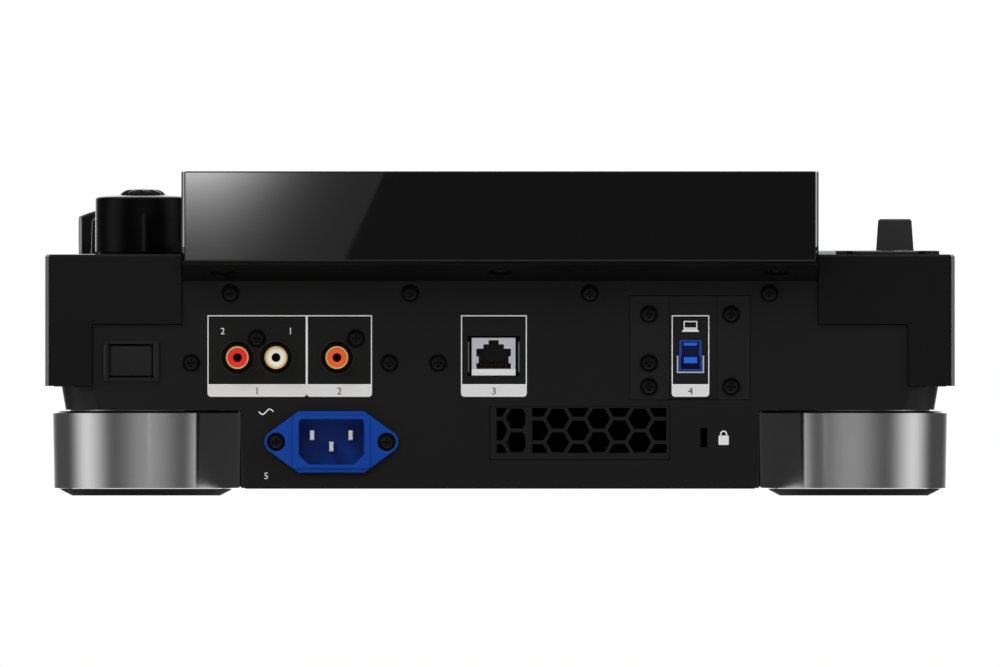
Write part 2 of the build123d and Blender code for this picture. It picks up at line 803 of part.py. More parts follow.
def make_rear_panel():
    """Sheet-metal panel that closes the back, with a cut-out for every socket."""
    outline = mirrored([(tub_half_width - panel_tub_slant, tub_bottom),
                        (tub_half_width, pan_bottom - foot_gap / 2),
                        (panel_pan_half_width, pan_bottom), (wing_foot_inner_x, pan_top),
                        (wing_foot_inner_x, wing_step_height),
                        (display_half_width, wing_step_height),
                        (display_half_width, panel_top)])
    panel = prism_y(outline, panel_back_y, panel_y)
    low, high = panel_back_y - cut_over, panel_y + cut_over
    for x in jacks.values():
        panel -= rod(x, jack_height, low, high, jack_panel_hole)
    side, below, above = link_margin
    half = link_width / 2 + side
    panel -= block(link_x - half, link_x + half, low, high, link_bottom - below, link_top + above)
    panel -= block(plate_x[0], plate_x[1], low, high, plate_z[0], plate_z[1])
    panel -= block(vent_x[0], vent_x[1], low, high, vent_z[0], vent_z[1])
    half_x, half_z = (size / 2 - power_frame_rib / 2 for size in power_frame_size)
    panel -= block(power_x - half_x, power_x + half_x, low, high, power_z - half_z, power_z + half_z)
    half_x, half_z = inlet_body_half
    panel -= block(inlet_x - half_x - fit_gap, inlet_x + half_x + fit_gap, low, high,
                   inlet_z - half_z - fit_gap, inlet_z + half_z + fit_gap)
    half_x, half_z = (size / 2 for size in lock_slot_size)
    panel -= block(lock_slot_x - half_x, lock_slot_x + half_x, low, high,
                   lock_slot_z - half_z, lock_slot_z + half_z)
    for x, z in panel_screws + inlet_screws():
        panel -= rod(x, z, low, high, screw_shank_radius + screw_hole_gap)
    return panel


def make_port_plate():
    """The small plate round the USB socket, with a shallow channel down its middle."""
    x0, x1 = (plate_x[0] + fit_gap, plate_x[1] - fit_gap)
    z0, z1 = (plate_z[0] + fit_gap, plate_z[1] - fit_gap)
    plate = block(x0, x1, panel_y - plate_thickness, panel_y, z0, z1)
    behind, before = panel_y - plate_thickness - cut_over, panel_y + cut_over
    plate -= block(*plate_channel_x, panel_y - plate_channel_depth, before,
                   z0 - cut_over, z1 + cut_over)
    plate -= prism_y(usb_b_outline(fit_gap), behind, before)
    for x, z in plate_screws:
        plate -= rod(x, z, behind, before, screw_shank_radius + screw_hole_gap)
    # The plate's hidden rim laps behind the rear panel.
    rim_back = panel_back_y - panel_thickness
    rim = block(x0 - port_rim, x1 + port_rim, rim_back, panel_back_y,
                z0 - port_rim_below, z1 + port_rim)
    rim -= block(x0 + port_rim_lap, x1 - port_rim_lap, rim_back - cut_over,
                 panel_back_y + cut_over, z0 + port_rim_lap, z1 - port_rim_lap)
    return plate + rim


def usb_b_outline(gap):
    """Stepped outline of the USB-B socket, wide below and narrow above."""
    wide, narrow = (half + gap for half in usb_b_half_widths)
    step = usb_b_step + gap
    shape = mirrored([(wide, usb_b_bottom - gap), (wide, step), (narrow, step + usb_b_shoulder),
                      (narrow, usb_b_top + gap)])
    return Pos(usb_b_x, 0) * shape


def make_usb_b():
    """USB-B socket: a folded metal shell and the coloured insert with its tongues."""
    front, back = panel_y - plate_channel_depth - usb_b_inset, panel_y - usb_b_depth
    room = usb_b_outline(-usb_b_wall)
    shell = prism_y(usb_b_outline(0), back, front)
    shell -= prism_y(room, back + cut_over, front + cut_over)
    wide, narrow = usb_b_half_widths
    foot = block(usb_b_x - narrow, usb_b_x + narrow, back + usb_b_foot_inset,
                 front - usb_b_foot_inset, link_bottom, usb_b_bottom)
    insert = prism_y(room, back + cut_over, front - usb_b_wall)
    floor_y, rim = back + usb_b_foot_inset, usb_b_wall + usb_b_rim
    insert -= block(usb_b_x - wide + rim, usb_b_x + wide - rim, floor_y, front + cut_over,
                    usb_b_bottom + usb_b_rim, usb_b_step - usb_b_wall)
    insert -= block(usb_b_x - narrow + rim, usb_b_x + narrow - rim, floor_y, front + cut_over,
                    usb_b_step + usb_b_rim, usb_b_top - usb_b_rim)
    middle = (usb_b_bottom + usb_b_rim + usb_b_step - usb_b_wall) / 2
    insert += block(usb_b_x - usb_b_tongue_half, usb_b_x + usb_b_tongue_half,
                    floor_y - cut_over, front - usb_b_rim,
                    middle - usb_b_tongue_height / 2, middle + usb_b_tongue_height / 2)
    return shell + foot, insert


def make_vent():
    """Pressed vent: a border, one upright bar and flat-topped hexagons in staggered columns."""
    x0, x1 = (vent_x[0] + fit_gap, vent_x[1] - fit_gap)
    z0, z1 = (vent_z[0] + fit_gap, vent_z[1])
    face_y = panel_y - vent_sink
    grille = block(x0, x1, face_y - vent_thickness, face_y, z0, z1)
    window = (x0 + vent_border / 2, x1 - vent_border, z0 + vent_border, z1 - vent_top_border)
    pitch_z = hex_flat + hex_web
    pitch_x = pitch_z * math.sqrt(3) / 2
    hex_radius = hex_flat / math.sqrt(3)
    middle_z = (window[2] + window[3]) / 2
    columns = round((window[1] - window[0]) / pitch_x) + 1
    holes = Sketch()
    for column in range(columns):
        x = window[1] - column * pitch_x
        shift, rows = (0.5, 4) if column % 2 else (0, 3)
        for row in range(rows):
            z = middle_z + (row - 1 - shift) * pitch_z
            holes += Pos(x, z) * RegularPolygon(hex_radius, 6)
    frame = Pos((window[0] + window[1]) / 2, middle_z) * Rectangle(window[1] - window[0],
                                                                  window[3] - window[2])
    bar = Pos(vent_bar_x, middle_z) * Rectangle(vent_bar_width, 2 * (window[3] - window[2]))
    grille -= prism_y((holes & frame) - bar, face_y - vent_thickness - cut_over,
                      panel_y + cut_over)
    # Hidden lip that holds the pressing behind the panel.
    lip_y = panel_back_y - vent_lip_thickness
    lip = block(x0 - vent_lip, x1 + vent_lip, lip_y, panel_back_y, z0 - vent_lip, z1 - vent_lip)
    lip -= block(*window[:2], lip_y - cut_over, panel_back_y + cut_over, window[2], window[3])
    return grille + lip


def inlet_screws():
    """The two flange screws of the mains inlet."""
    return [(inlet_x + side * inlet_screw_spacing / 2, inlet_z) for side in (-1, 1)]


def ear_seat_y():
    """Where the inlet's screw heads seat in its ears."""
    return panel_y + inlet_flange_thickness - inlet_ear_sink


def inlet_cavity(y0, y1):
    """The mains cavity: a rectangle whose two lower corners are cut off."""
    half_x, half_z = inlet_cavity_half
    cut = inlet_cavity_corner
    shape = mirrored([(half_x - cut, -half_z), (half_x, -half_z + cut), (half_x, half_z)])
    shape = fillet(shape.vertices().group_by(Axis.Y)[-1], inlet_cavity_round)
    return prism_y(Pos(inlet_x, inlet_z) * shape, y0, y1)


def make_mains_inlet():
    """Mains inlet: flange with two tapering ears, deep cavity, and a body behind the panel."""
    half_x, half_z = inlet_block_half
    ear = inlet_screw_spacing / 2
    flange = Pos(inlet_x, inlet_z) * make_hull(
        [*Rectangle(2 * (half_x - inlet_block_corner), 2 * half_z).edges(),
         *(Pos(ear, 0) * Circle(inlet_ear_radius)).edges(),
         *(Pos(-ear, 0) * Circle(inlet_ear_radius)).edges()])
    inlet = prism_y(flange, panel_y, panel_y + inlet_flange_thickness)
    # A raised block round the cavity.
    half_z = inlet_collar_half_height
    inlet += block(inlet_x - half_x, inlet_x + half_x, panel_y, inlet_mouth_y,
                   inlet_z - half_z, inlet_z + half_z)
    half_x, half_z = inlet_body_half
    inlet += block(inlet_x - half_x, inlet_x + half_x, panel_y - inlet_body_depth, panel_y,
                   inlet_z - half_z, inlet_z + half_z)
    inlet -= inlet_cavity(inlet_mouth_y - inlet_cavity_depth, inlet_mouth_y + cut_over)
    for x, z in inlet_screws():
        inlet -= rod(x, z, panel_y - cut_over, inlet_mouth_y, screw_shank_radius + screw_hole_gap)
        inlet -= rod(x, z, ear_seat_y(), inlet_mouth_y, screw_head_radius + fit_gap)
    return inlet


def make_inlet_pins():
    """Line, neutral and earth blades standing on the cavity's floor."""
    floor_y = inlet_mouth_y - inlet_cavity_depth
    w, h = inlet_pin_size
    places = [(-inlet_pin_spacing / 2, inlet_pin_raise), (inlet_pin_spacing / 2, inlet_pin_raise),
              (0, -inlet_pin_drop)]
    pins = []
    for x, z in places:
        pin = block(inlet_x + x - w / 2, inlet_x + x + w / 2, floor_y,
                    floor_y + inlet_pin_length, inlet_z + z - h / 2, inlet_z + z + h / 2)
        pins.append(chamfer(pin.faces().sort_by(Axis.Y)[-1].edges(), inlet_pin_bevel))
    return pins


def make_jack(x):
    """One phono jack: black collar on the main board, metal sleeve and coloured insert."""
    front = panel_y + jack_reach
    half = jack_body_half
    collar = block(x - half, x + half, panel_back_y - jack_body_depth, panel_back_y,
                   link_bottom, jack_height + jack_body_rise)
    ring = rod(x, jack_height, panel_back_y, panel_y - fit_gap, jack_panel_hole - fit_gap)
    collar += ring - rod(x, jack_height, panel_back_y, panel_y, jack_collar_bore)
    sleeve = rod(x, jack_height, panel_back_y, front, jack_sleeve_radius)
    sleeve -= rod(x, jack_height, panel_back_y - cut_over, front + cut_over, jack_sleeve_bore)
    insert = rod(x, jack_height, panel_back_y, front - jack_insert_inset, jack_sleeve_bore)
    insert -= rod(x, jack_height, panel_back_y + cut_over, front, jack_pin_hole)
    return collar, sleeve, insert


def make_link_jack():
    """Network jack: folded shell with a stepped mouth, and the black insert with its contacts."""
    half = link_width / 2
    front = panel_y - link_inset
    back = front - link_depth
    floor_y = back + link_back_wall
    floor_z, shoulder = (link_bottom + rise for rise in link_mouth_rise)
    shell = block(link_x - half, link_x + half, back, front, link_bottom, link_top)
    mouth = block(link_x - link_mouth_half_width, link_x + link_mouth_half_width,
                  floor_y, front + cut_over, floor_z, shoulder)
    for step_half, rise in link_steps:
        mouth += block(link_x - step_half, link_x + step_half, floor_y, front + cut_over,
                       floor_z, link_bottom + rise)
    shell -= mouth
    bed_z = floor_z + link_insert_thickness
    insert = block(link_x - link_mouth_half_width, link_x + link_mouth_half_width,
                   floor_y, front - link_contact_height, floor_z, bed_z)
    first = link_x - link_contact_pitch * (link_contact_count - 1) / 2
    for number in range(link_contact_count):
        x = first + number * link_contact_pitch
        insert += block(x - link_contact_width / 2, x + link_contact_width / 2, floor_y,
                        front - 2 * link_contact_height, floor_z, floor_z + 2 * link_insert_thickness)
    return shell, insert


def make_power_frame():
    """The power button's frame, with a rib up each side and a closed well behind."""
    half_x, half_z = (size / 2 for size in power_frame_size)
    rib = power_frame_rib
    frame = block(power_x - half_x, power_x + half_x, panel_y, panel_y + power_frame_plate,
                  power_z - half_z, power_z + half_z)
    for side in (-1, 1):
        middle = power_x + side * (half_x - rib / 2)
        frame += block(middle - rib / 2, middle + rib / 2, panel_y, panel_y + power_frame_rib_rise,
                       power_z - half_z, power_z + half_z)
    inner_x, inner_z = (half - rib / 2 - fit_gap for half in (half_x, half_z))
    frame += block(power_x - inner_x, power_x + inner_x, power_floor_y() - power_well_floor,
                   panel_y, power_z - inner_z, power_z + inner_z)
    w, h = (size / 2 + power_gap for size in power_button_size)
    return frame - block(power_x - w, power_x + w, power_floor_y(), panel_y + cut_over,
                         power_z - h, power_z + h)


def power_floor_y():
    """Floor of the power button's well."""
    return panel_back_y - power_well_depth


def make_power_button():
    """The power button: a block with softened edges and a stem to its switch."""
    half_x, half_z = (size / 2 for size in power_button_size)
    back = panel_y - power_button_depth
    button = block(power_x - half_x, power_x + half_x, back, panel_y + power_button_rise,
                   power_z - half_z, power_z + half_z)
    button = chamfer(button.faces().sort_by(Axis.Y)[-1].edges(), power_gap)
    start = power_floor_y() + power_travel + key_hang_gap
    return button + rod(power_x, power_z, start, back, shaft_radius)


def make_case_screws():
    """Every cross-head screw in the rear: panel, port plate, inlet ears and display chin."""
    screws = [screw(x, z, panel_y) for x, z in panel_screws]
    screws += [screw(x, z, panel_y) for x, z in plate_screws]
    screws += [screw(x, z, ear_seat_y()) for x, z in inlet_screws()]
    height = chin_recess_depth - chin_head_gap
    for x in chin_screw_places():
        seat = chin_plane(x) * Pos(0, 0, -chin_recess_depth + height / 2)
        screws.append(seat * Cylinder(screw_head_radius, height))
    return screws


# ---- display -------------------------------------------------------------------------------
def chin_front_y():
    """Front of the display's chin, where it stands on the rear panel's top edge."""
    return panel_back_y - display_chin_depth


def chin_screw_places():
    """X of the three screws under the display."""
    outer = display_half_width - chin_screw_inset
    return -outer, 0, outer


def chin_plane(x):
    """A plane on the sloping underside of the overhang, facing out of it, at x."""
    slope = math.degrees(math.atan2(display_chin - panel_top, display_rear_y - panel_y))
    middle_y = (display_rear_y - display_cover_thickness + panel_y) / 2
    z = panel_top + (middle_y - panel_y) * math.tan(math.radians(slope))
    return Pos(x, middle_y, z) * Rot(slope, 0, 0) * Rot(180, 0, 0)


def display_tilt():
    """Slope of the display's upper face."""
    rise = display_top - deck_height - display_front_height
    return math.degrees(math.atan2(rise, display_rear_y - display_front_y))


def face_length():
    """Length of the display's upper face along its slope."""
    rise = display_top - deck_height - display_front_height
    return math.hypot(rise, display_rear_y - display_front_y)


def face_height(y):
    """Height of the display's upper face at y."""
    slope = math.tan(math.radians(display_tilt()))
    return deck_height + display_front_height + (y - display_front_y) * slope


def chin_height(y):
    """Height of the overhang's underside at y."""
    slope = (display_chin - panel_top) / (display_rear_y - panel_y)
    return panel_top + (y - panel_y) * slope


def make_display_housing():
    """Wedge-shaped shell that carries the screen, with the chin that stands on the panel."""
    rear = display_rear_y - display_cover_thickness
    chin = chin_front_y()
    outside = Polygon((display_front_y, deck_height), (chin, deck_height), (chin, panel_top),
                      (panel_y, panel_top), (rear, chin_height(rear)), (rear, face_height(rear)),
                      (display_front_y, deck_height + display_front_height), align=None)
    housing = prism_x(outside, -display_half_width, display_half_width)
    # Hollow below the screen's tray, open towards the deck.
    wall = display_wall
    drop = (glass_thickness + lcd_size[2] + wall) / math.cos(math.radians(display_tilt()))
    slope = math.tan(math.radians(display_tilt()))
    hollow_front = display_front_y + (drop - display_front_height) / slope
    rear -= wall
    inside = Polygon((hollow_front, deck_height), (chin + wall, deck_height),
                     (chin + wall, panel_top + wall), (panel_y, panel_top + wall),
                     (rear, chin_height(rear) + wall), (rear, face_height(rear) - drop),
                     align=None)
    housing -= prism_x(inside, -display_half_width + wall, display_half_width - wall)
    width = display_half_width - glass_margin
    housing -= on_display(width, glass_span(), 0, -glass_thickness)
    housing -= on_display(lcd_size[0] / 2 + fit_gap, lcd_span(fit_gap), 0,
                          -glass_thickness - lcd_size[2])
    for x in chin_screw_places():
        place = chin_plane(x)
        boss = Cylinder(chin_recess_radius + chin_boss_wall, 2 * (chin_recess_depth - chin_head_gap))
        housing += place * Pos(0, 0, -chin_recess_depth) * boss
        housing -= place * Cylinder(chin_recess_radius, 2 * chin_recess_depth)
    return housing


def on_display(half_x, span, top, bottom):
    """A slab square to the display's face, from one distance up its slope to another."""
    start, end = span
    slab = block(-half_x, half_x, start, end, bottom, top)
    low_edge = Pos(0, display_front_y, deck_height + display_front_height)
    return low_edge * Rot(display_tilt(), 0, 0) * slab


def glass_span():
    """Where the glass pocket starts and ends, measured up the face's slope."""
    return glass_margin, face_length() - glass_rear_margin


def lcd_span(gap):
    """Where the LCD starts and ends, measured up the face's slope."""
    end = face_length() - lcd_rear_margin
    return end - lcd_size[1] - gap, end + gap


def make_display_back():
    """The flat gloss cover over the display's rear, with a fine bevel all round."""
    inner_y = display_rear_y - display_cover_thickness
    outline = Polygon((inner_y, chin_height(inner_y)), (display_rear_y, display_chin),
                      (display_rear_y, display_top), (inner_y, face_height(inner_y)), align=None)
    cover = prism_x(outline, -display_half_width, display_half_width)
    return chamfer(cover.faces().sort_by(Axis.Y)[-1].edges(), display_cover_bevel)


def make_display_glass():
    """Cover glass, flush with the housing's upper face."""
    start, end = glass_span()
    half = display_half_width - glass_margin - fit_gap
    return on_display(half, (start + fit_gap, end - fit_gap), 0, -glass_thickness)


def make_lcd_panel():
    """The LCD panel under the glass."""
    return on_display(lcd_size[0] / 2, lcd_span(0), -glass_thickness,
                      -glass_thickness - lcd_size[2])


# ---- feet ----------------------------------------------------------------------------------
def foot_places():
    """The four feet's middles."""
    for x in (-foot_x, foot_x):
        for y in (front_y + foot_end_inset, wing_y - foot_end_inset):
            yield x, y


def make_foot_cups():
    """Turned metal cups with a bevelled upper edge and a neck that meets the pan."""
    bevel, seat = foot_bevel, foot_bottom + pad_seat_depth
    neck = foot_radius - foot_neck_inset
    profile = [(0, seat), (foot_radius - foot_wall, seat), (foot_radius - foot_wall, foot_bottom),
               (foot_radius - foot_draft, foot_bottom), (foot_radius, foot_top - bevel),
               (foot_radius - bevel, foot_top), (neck, foot_top), (neck, pan_bottom),
               (0, pan_bottom)]
    return [turned(profile, x, y) for x, y in foot_places()]


def make_foot_pads():
    """Rubber pads held inside the cups, tapering to the table."""
    seat = foot_bottom + pad_seat_depth
    plug = foot_radius - foot_wall - fit_gap
    profile = [(0, 0), (pad_bottom_radius, 0), (pad_top_radius, foot_bottom - fit_gap),
               (plug, foot_bottom - fit_gap), (plug, seat), (0, seat)]
    return [turned(profile, x, y) for x, y in foot_places()]


# ---- deck controls -------------------------------------------------------------------------
def make_key(place, size):
    """A deck key: bevelled cap, and a hidden flange that keeps it under the skin."""
    (x, y), (w, d) = place, size
    top = deck_height + key_rise
    cap = block(x - w / 2, x + w / 2, y - d / 2, y + d / 2, key_flange_bottom, top)
    cap = chamfer(cap.faces().sort_by(Axis.Z)[-1].edges(), key_bevel)
    w, d = w + 2 * key_flange, d + 2 * key_flange
    flange = block(x - w / 2, x + w / 2, y - d / 2, y + d / 2, key_flange_bottom,
                   key_flange_bottom + key_flange_thickness)
    return cap + flange


def make_round_button(y):
    """Play or cue button: a dished round cap with a flange under the skin."""
    top = deck_height + round_rim_rise - round_button_sink
    r, edge = round_button_radius, round_button_edge
    flange_top = key_flange_bottom + key_flange_thickness
    start, end, depth = round_button_dish
    profile = [(0, key_flange_bottom), (r + key_flange, key_flange_bottom),
               (r + key_flange, flange_top), (r, flange_top), (r, top - edge), (r - edge, top),
               (r - start, top), (r - end, top - depth), (0, top - depth)]
    return turned(profile, round_button_x, y)


def make_direction_lever():
    """Tapering paddle on two trunnions that turn in the ears under the skin."""
    top = deck_height + lever_height
    low_half, high_half = lever_base_width / 2, lever_top_width / 2
    low_depth, high_depth = lever_base_depth / 2, lever_top_depth / 2
    lower = block(lever_x - low_half, lever_x + low_half, lever_y - low_depth,
                  lever_y + low_depth, lever_pivot_z - low_depth, deck_height)
    upper = loft([Plane.XY.offset(deck_height) * Pos(lever_x, lever_y) * Rectangle(
        2 * low_half, 2 * low_depth), Plane.XY.offset(top) * Pos(lever_x, lever_y) * Rectangle(
        2 * high_half, 2 * high_depth)])
    upper = chamfer(upper.faces().sort_by(Axis.Z)[-1].edges(), lever_edge)
    reach = lever_base_width / 2 + 2 * key_gap + lever_ear
    pivot = Pos(lever_x, lever_y, lever_pivot_z) * Rot(0, 90, 0)
    return lower + upper + pivot * Cylinder(lever_pivot_radius, 2 * reach)


def fluted(body, x, y, radius, count, cutter_radius, depth, z0, z1):
    """Cut evenly spaced upright flutes into a turned body."""
    for cx, cy in around(x, y, radius + cutter_radius - depth, count):
        body -= post(cx, cy, z0, z1, cutter_radius)
    return body


def make_browse_knob():
    """Tall smooth knob with a raised lobed cap, on the shaft that turns in the plunger."""
    bottom = deck_height + knob_float
    crown = deck_height + browse_rise
    top = crown + browse_crown
    r, edge = browse_radius, browse_edge
    profile = [(0, shaft_foot()), (shaft_radius, shaft_foot()),
               (shaft_radius, bottom + knob_hollow), (r - knob_wall, bottom + knob_hollow),
               (r - knob_wall, bottom), (r, bottom), (r, crown - edge), (r - edge, crown),
               (browse_cap_radius + edge, top), (0, top)]
    knob = turned(profile, browse_x, browse_y)
    cap_top = crown + browse_cap_rise
    cap = post(browse_x, browse_y, top, cap_top, browse_cap_radius)
    cap = chamfer(cap.faces().sort_by(Axis.Z)[-1].edges(), browse_cap_edge)
    cap = fluted(cap, browse_x, browse_y, browse_cap_radius, browse_cap_lobes,
                 browse_lobe_radius, browse_lobe_depth, top, cap_top + cut_over)
    return knob + cap


def shaft_foot():
    """Lower end of the browse knob's shaft, below the plunger."""
    return board_top - 2 * plunger_depth


def make_browse_plunger():
    """Square bush that carries the knob's shaft and slides down in the encoder."""
    top = skin_bottom - plunger_top_gap
    bottom = board_top - plunger_depth
    bush = block(browse_x - plunger_half, browse_x + plunger_half, browse_y - plunger_half,
                 browse_y + plunger_half, bottom, top)
    bore = post(browse_x, browse_y, bottom - cut_over, top + cut_over, shaft_radius + running_gap)
    return bush - bore


def make_feel_knob():
    """Small fluted knob with a pointer groove, for the jog wheel's drag."""
    x, y = feel_knob
    foot = board_top + key_hang_gap
    bottom = deck_height + knob_float
    top = deck_height + feel_rise
    r, edge = feel_radius, feel_edge
    profile = [(0, foot), (shaft_radius, foot), (shaft_radius, bottom + knob_hollow),
               (r - knob_wall, bottom + knob_hollow), (r - knob_wall, bottom), (r, bottom),
               (feel_top_radius, top - edge), (feel_top_radius - edge, top), (0, top)]
    knob = turned(profile, x, y)
    knob = fluted(knob, x, y, r, feel_flutes, feel_flute_radius, feel_flute_depth,
                  bottom - cut_over, top - 2 * edge)
    half = feel_pointer / 2
    return knob - block(x - half, x + half, y + r / 2, y + r, top - half, top + cut_over)


def make_tempo_cap():
    """Fader cap with a domed cross-section, finger ribs and a blade into the fader body."""
    half_x, half_y = (size / 2 for size in tempo_cap_size)
    bottom = deck_height + tempo_cap_float
    shoulder = deck_height + tempo_cap_shoulder
    crown = deck_height + tempo_cap_rise
    left, right = tempo_x - half_x, tempo_x + half_x
    arch = make_face([Line((left, bottom), (right, bottom)), Line((right, bottom), (right, shoulder)),
                      ThreePointArc((right, shoulder), (tempo_x, crown), (left, shoulder)),
                      Line((left, shoulder), (left, bottom))])
    cap = prism_y(arch, tempo_y - half_y, tempo_y + half_y)
    reach = half_x + cut_over
    notch = Polygon((tempo_y - tempo_notch, crown + cut_over), (tempo_y, crown - tempo_notch),
                    (tempo_y + tempo_notch, crown + cut_over), align=None)
    cap -= prism_x(notch, tempo_x - reach, tempo_x + reach)
    half = tempo_rib_width / 2
    for share in (*tempo_ribs, *[-share for share in tempo_ribs]):
        y = tempo_y + share * half_y
        cap -= block(tempo_x - reach, tempo_x + reach, y - half, y + half,
                     shoulder + tempo_rib_inset, crown + cut_over)
    blade = block(tempo_x - tempo_blade / 2, tempo_x + tempo_blade / 2,
                  tempo_y - tempo_blade_depth / 2, tempo_y + tempo_blade_depth / 2,
                  skin_bottom - tempo_body_height / 2, bottom)
    return cap + blade


def make_tempo_body():
    """The slide potentiometer under the deck, with a slot for the cap's blade."""
    slot = tempo_travel + tempo_cap_size[1] / 2
    reach = slot + tempo_body_end
    half = tempo_body_width / 2
    bottom = skin_bottom - tempo_body_height
    body = block(tempo_x - half, tempo_x + half, tempo_y - reach, tempo_y + reach,
                 bottom, skin_bottom)
    return body - block(tempo_x - tempo_slot / 2, tempo_x + tempo_slot / 2, tempo_y - slot,
                        tempo_y + slot, bottom + tempo_body_wall, skin_bottom + cut_over)


def make_media_door():
    """Low hinged lid over the memory-stick socket, with its barrel, pin and finger groove."""
    x, y = media_door
    w, d = media_door_size
    r = media_barrel_radius
    bottom = deck_height + key_hang_gap
    top = media_hinge_z + r
    front = y - d / 2
    door = block(x - w / 2, x + w / 2, front, hinge_y(), bottom, top)
    groove = front + media_finger_inset
    door -= block(x - media_finger_half, x + media_finger_half, groove, groove + media_finger_inset,
                  top - media_finger_depth, top + cut_over)
    hinge = Pos(x, hinge_y(), media_hinge_z) * Rot(0, 90, 0)
    half = w / 2 - key_hang_gap
    door -= block(x + half, x + w, y + d / 2, hinge_y() + r, bottom - cut_over, top + cut_over)
    door -= block(x - w, x - half, y + d / 2, hinge_y() + r, bottom - cut_over, top + cut_over)
    pin = Cylinder(media_pin_radius, w + 2 * media_lug - 2 * key_hang_gap)
    return door + hinge * Cylinder(r, 2 * half) + hinge * pin


def make_usb_a():
    """Memory-stick socket: a steel shell with its tongue, through the pocket's floor."""
    room = usb_a_room(0)
    low, high = room.bounding_box().min, room.bounding_box().max
    wall = usb_a_wall
    floor_z = low.Z + usb_a_back
    shell = room - block(low.X + wall, high.X - wall, low.Y + wall, high.Y - wall,
                         floor_z, high.Z + cut_over)
    return shell + block(low.X + 2 * wall, high.X - 2 * wall, high.Y - 4 * wall,
                         high.Y - wall, floor_z, high.Z - cut_over)


# ---- inside the case -----------------------------------------------------------------------
def make_key_board():
    """Circuit board under the deck with a switch below each key and the encoder and pot bodies."""
    z0, z1 = board_bottom, board_top
    low, high = z0 - cut_over, z1 + cut_over
    edge = half_width - case_wall - key_board_gap
    rear0, rear1 = (display_front_y - inset for inset in key_board_band)
    board = block(-edge, key_board_left_width - half_width, front_y + key_board_front_inset,
                  rear1, z0, z1)
    board += block(-edge, edge, rear0, rear1, z0, z1)
    board += block(half_width - key_board_right_width, edge, front_y + key_board_right_front,
                   rear1, z0, z1)
    base = jog_skirt_radius + jog_hole_gap + jog_base_flange
    board -= post(0, jog_y, low, high, base + key_board_jog_gap)
    w, d = lever_slot_size()
    clear = w / 2 + lever_ear + key_gap
    board -= block(lever_x - clear, lever_x + clear, lever_y - d / 2 - key_gap,
                   lever_y + d / 2 + key_gap, low, high)
    half = switch_size / 2
    for _, (x, y), _ in key_places():
        board += block(x - half, x + half, y - half, y + half, z1,
                       key_flange_bottom - key_travel - key_hang_gap)
    half = switch_size
    for y in round_buttons.values():
        board += block(round_button_x - half, round_button_x + half, y - half, y + half, z1,
                       key_flange_bottom - round_button_travel - key_hang_gap)
    # Encoder body under the browse knob, with a square well for the plunger.
    half = encoder_half
    rise = encoder_depth / 3
    bottom = z1 - encoder_depth
    board += block(browse_x - half, browse_x + half, browse_y - half, browse_y + half,
                   bottom, z1 + rise)
    well = plunger_half + running_gap
    board -= block(browse_x - well, browse_x + well, browse_y - well, browse_y + well,
                   z1 - plunger_depth - browse_travel - key_gap, z1 + rise + cut_over)
    board -= post(browse_x, browse_y, shaft_foot() - browse_travel - key_gap,
                  z1 + rise + cut_over, shaft_radius + key_gap)
    # Potentiometer body under the jog feel knob.
    x, y = feel_knob
    top = z1 + rise + key_travel
    board += block(x - half, x + half, y - half, y + half, z1, top)
    return board - post(x, y, z1, top + cut_over, shaft_radius + running_gap)


def make_main_board():
    """Main circuit board on the pan's posts, with its largest chips and their heat spreader."""
    z1 = link_bottom
    board = block(-main_board_half_width, main_board_half_width, panel_back_y - main_board_depth,
                  panel_back_y - panel_thickness - fit_gap, z1 - board_thickness, z1)
    for x0, x1, near, far, height in chips:
        board += block(x0, x1, panel_back_y - far, panel_back_y - near, z1, z1 + height)
    return board


def make_power_supply():
    """Power supply in the tub: board, transformer, capacitors and a finned heat sink."""
    z0 = supply_bottom()
    z1 = z0 + board_thickness
    x0, x1, y0, y1 = supply_edges()
    supply = block(x0, x1, y0, y1, z0, z1)
    left, right, near, far, height = transformer
    supply += block(x0 + left, x0 + right, y0 + near, y0 + far, z1, z1 + height)
    for x, y in capacitor_places:
        supply += post(x0 + x, y0 + y, z1, z1 + capacitor_height, capacitor_radius)
    left, right, inset, base = heat_sink
    supply += block(x0 + left, x0 + right, y0 + inset, y1 - inset, z1, z1 + base)
    width, height = heat_sink_fin
    for number in range(heat_sink_fins):
        x = x0 + left + heat_sink_edge + number * heat_sink_pitch
        supply += block(x, x + width, y0 + inset, y1 - inset, z1 + base, z1 + base + height)
    return supply


# ---- jog wheel -----------------------------------------------------------------------------
def jog_levels():
    """Heights that the jog wheel's pieces share: web top, bearing bottom, post top."""
    web_top = jog_top - jog_display_sink - jog_display_thickness
    return web_top, web_top - jog_bearing_height, web_top + jog_post_rise


def plate_seat():
    """Height of the shelf that carries the jog wheel's top plate."""
    return jog_top - jog_plate_sink - jog_plate_thickness


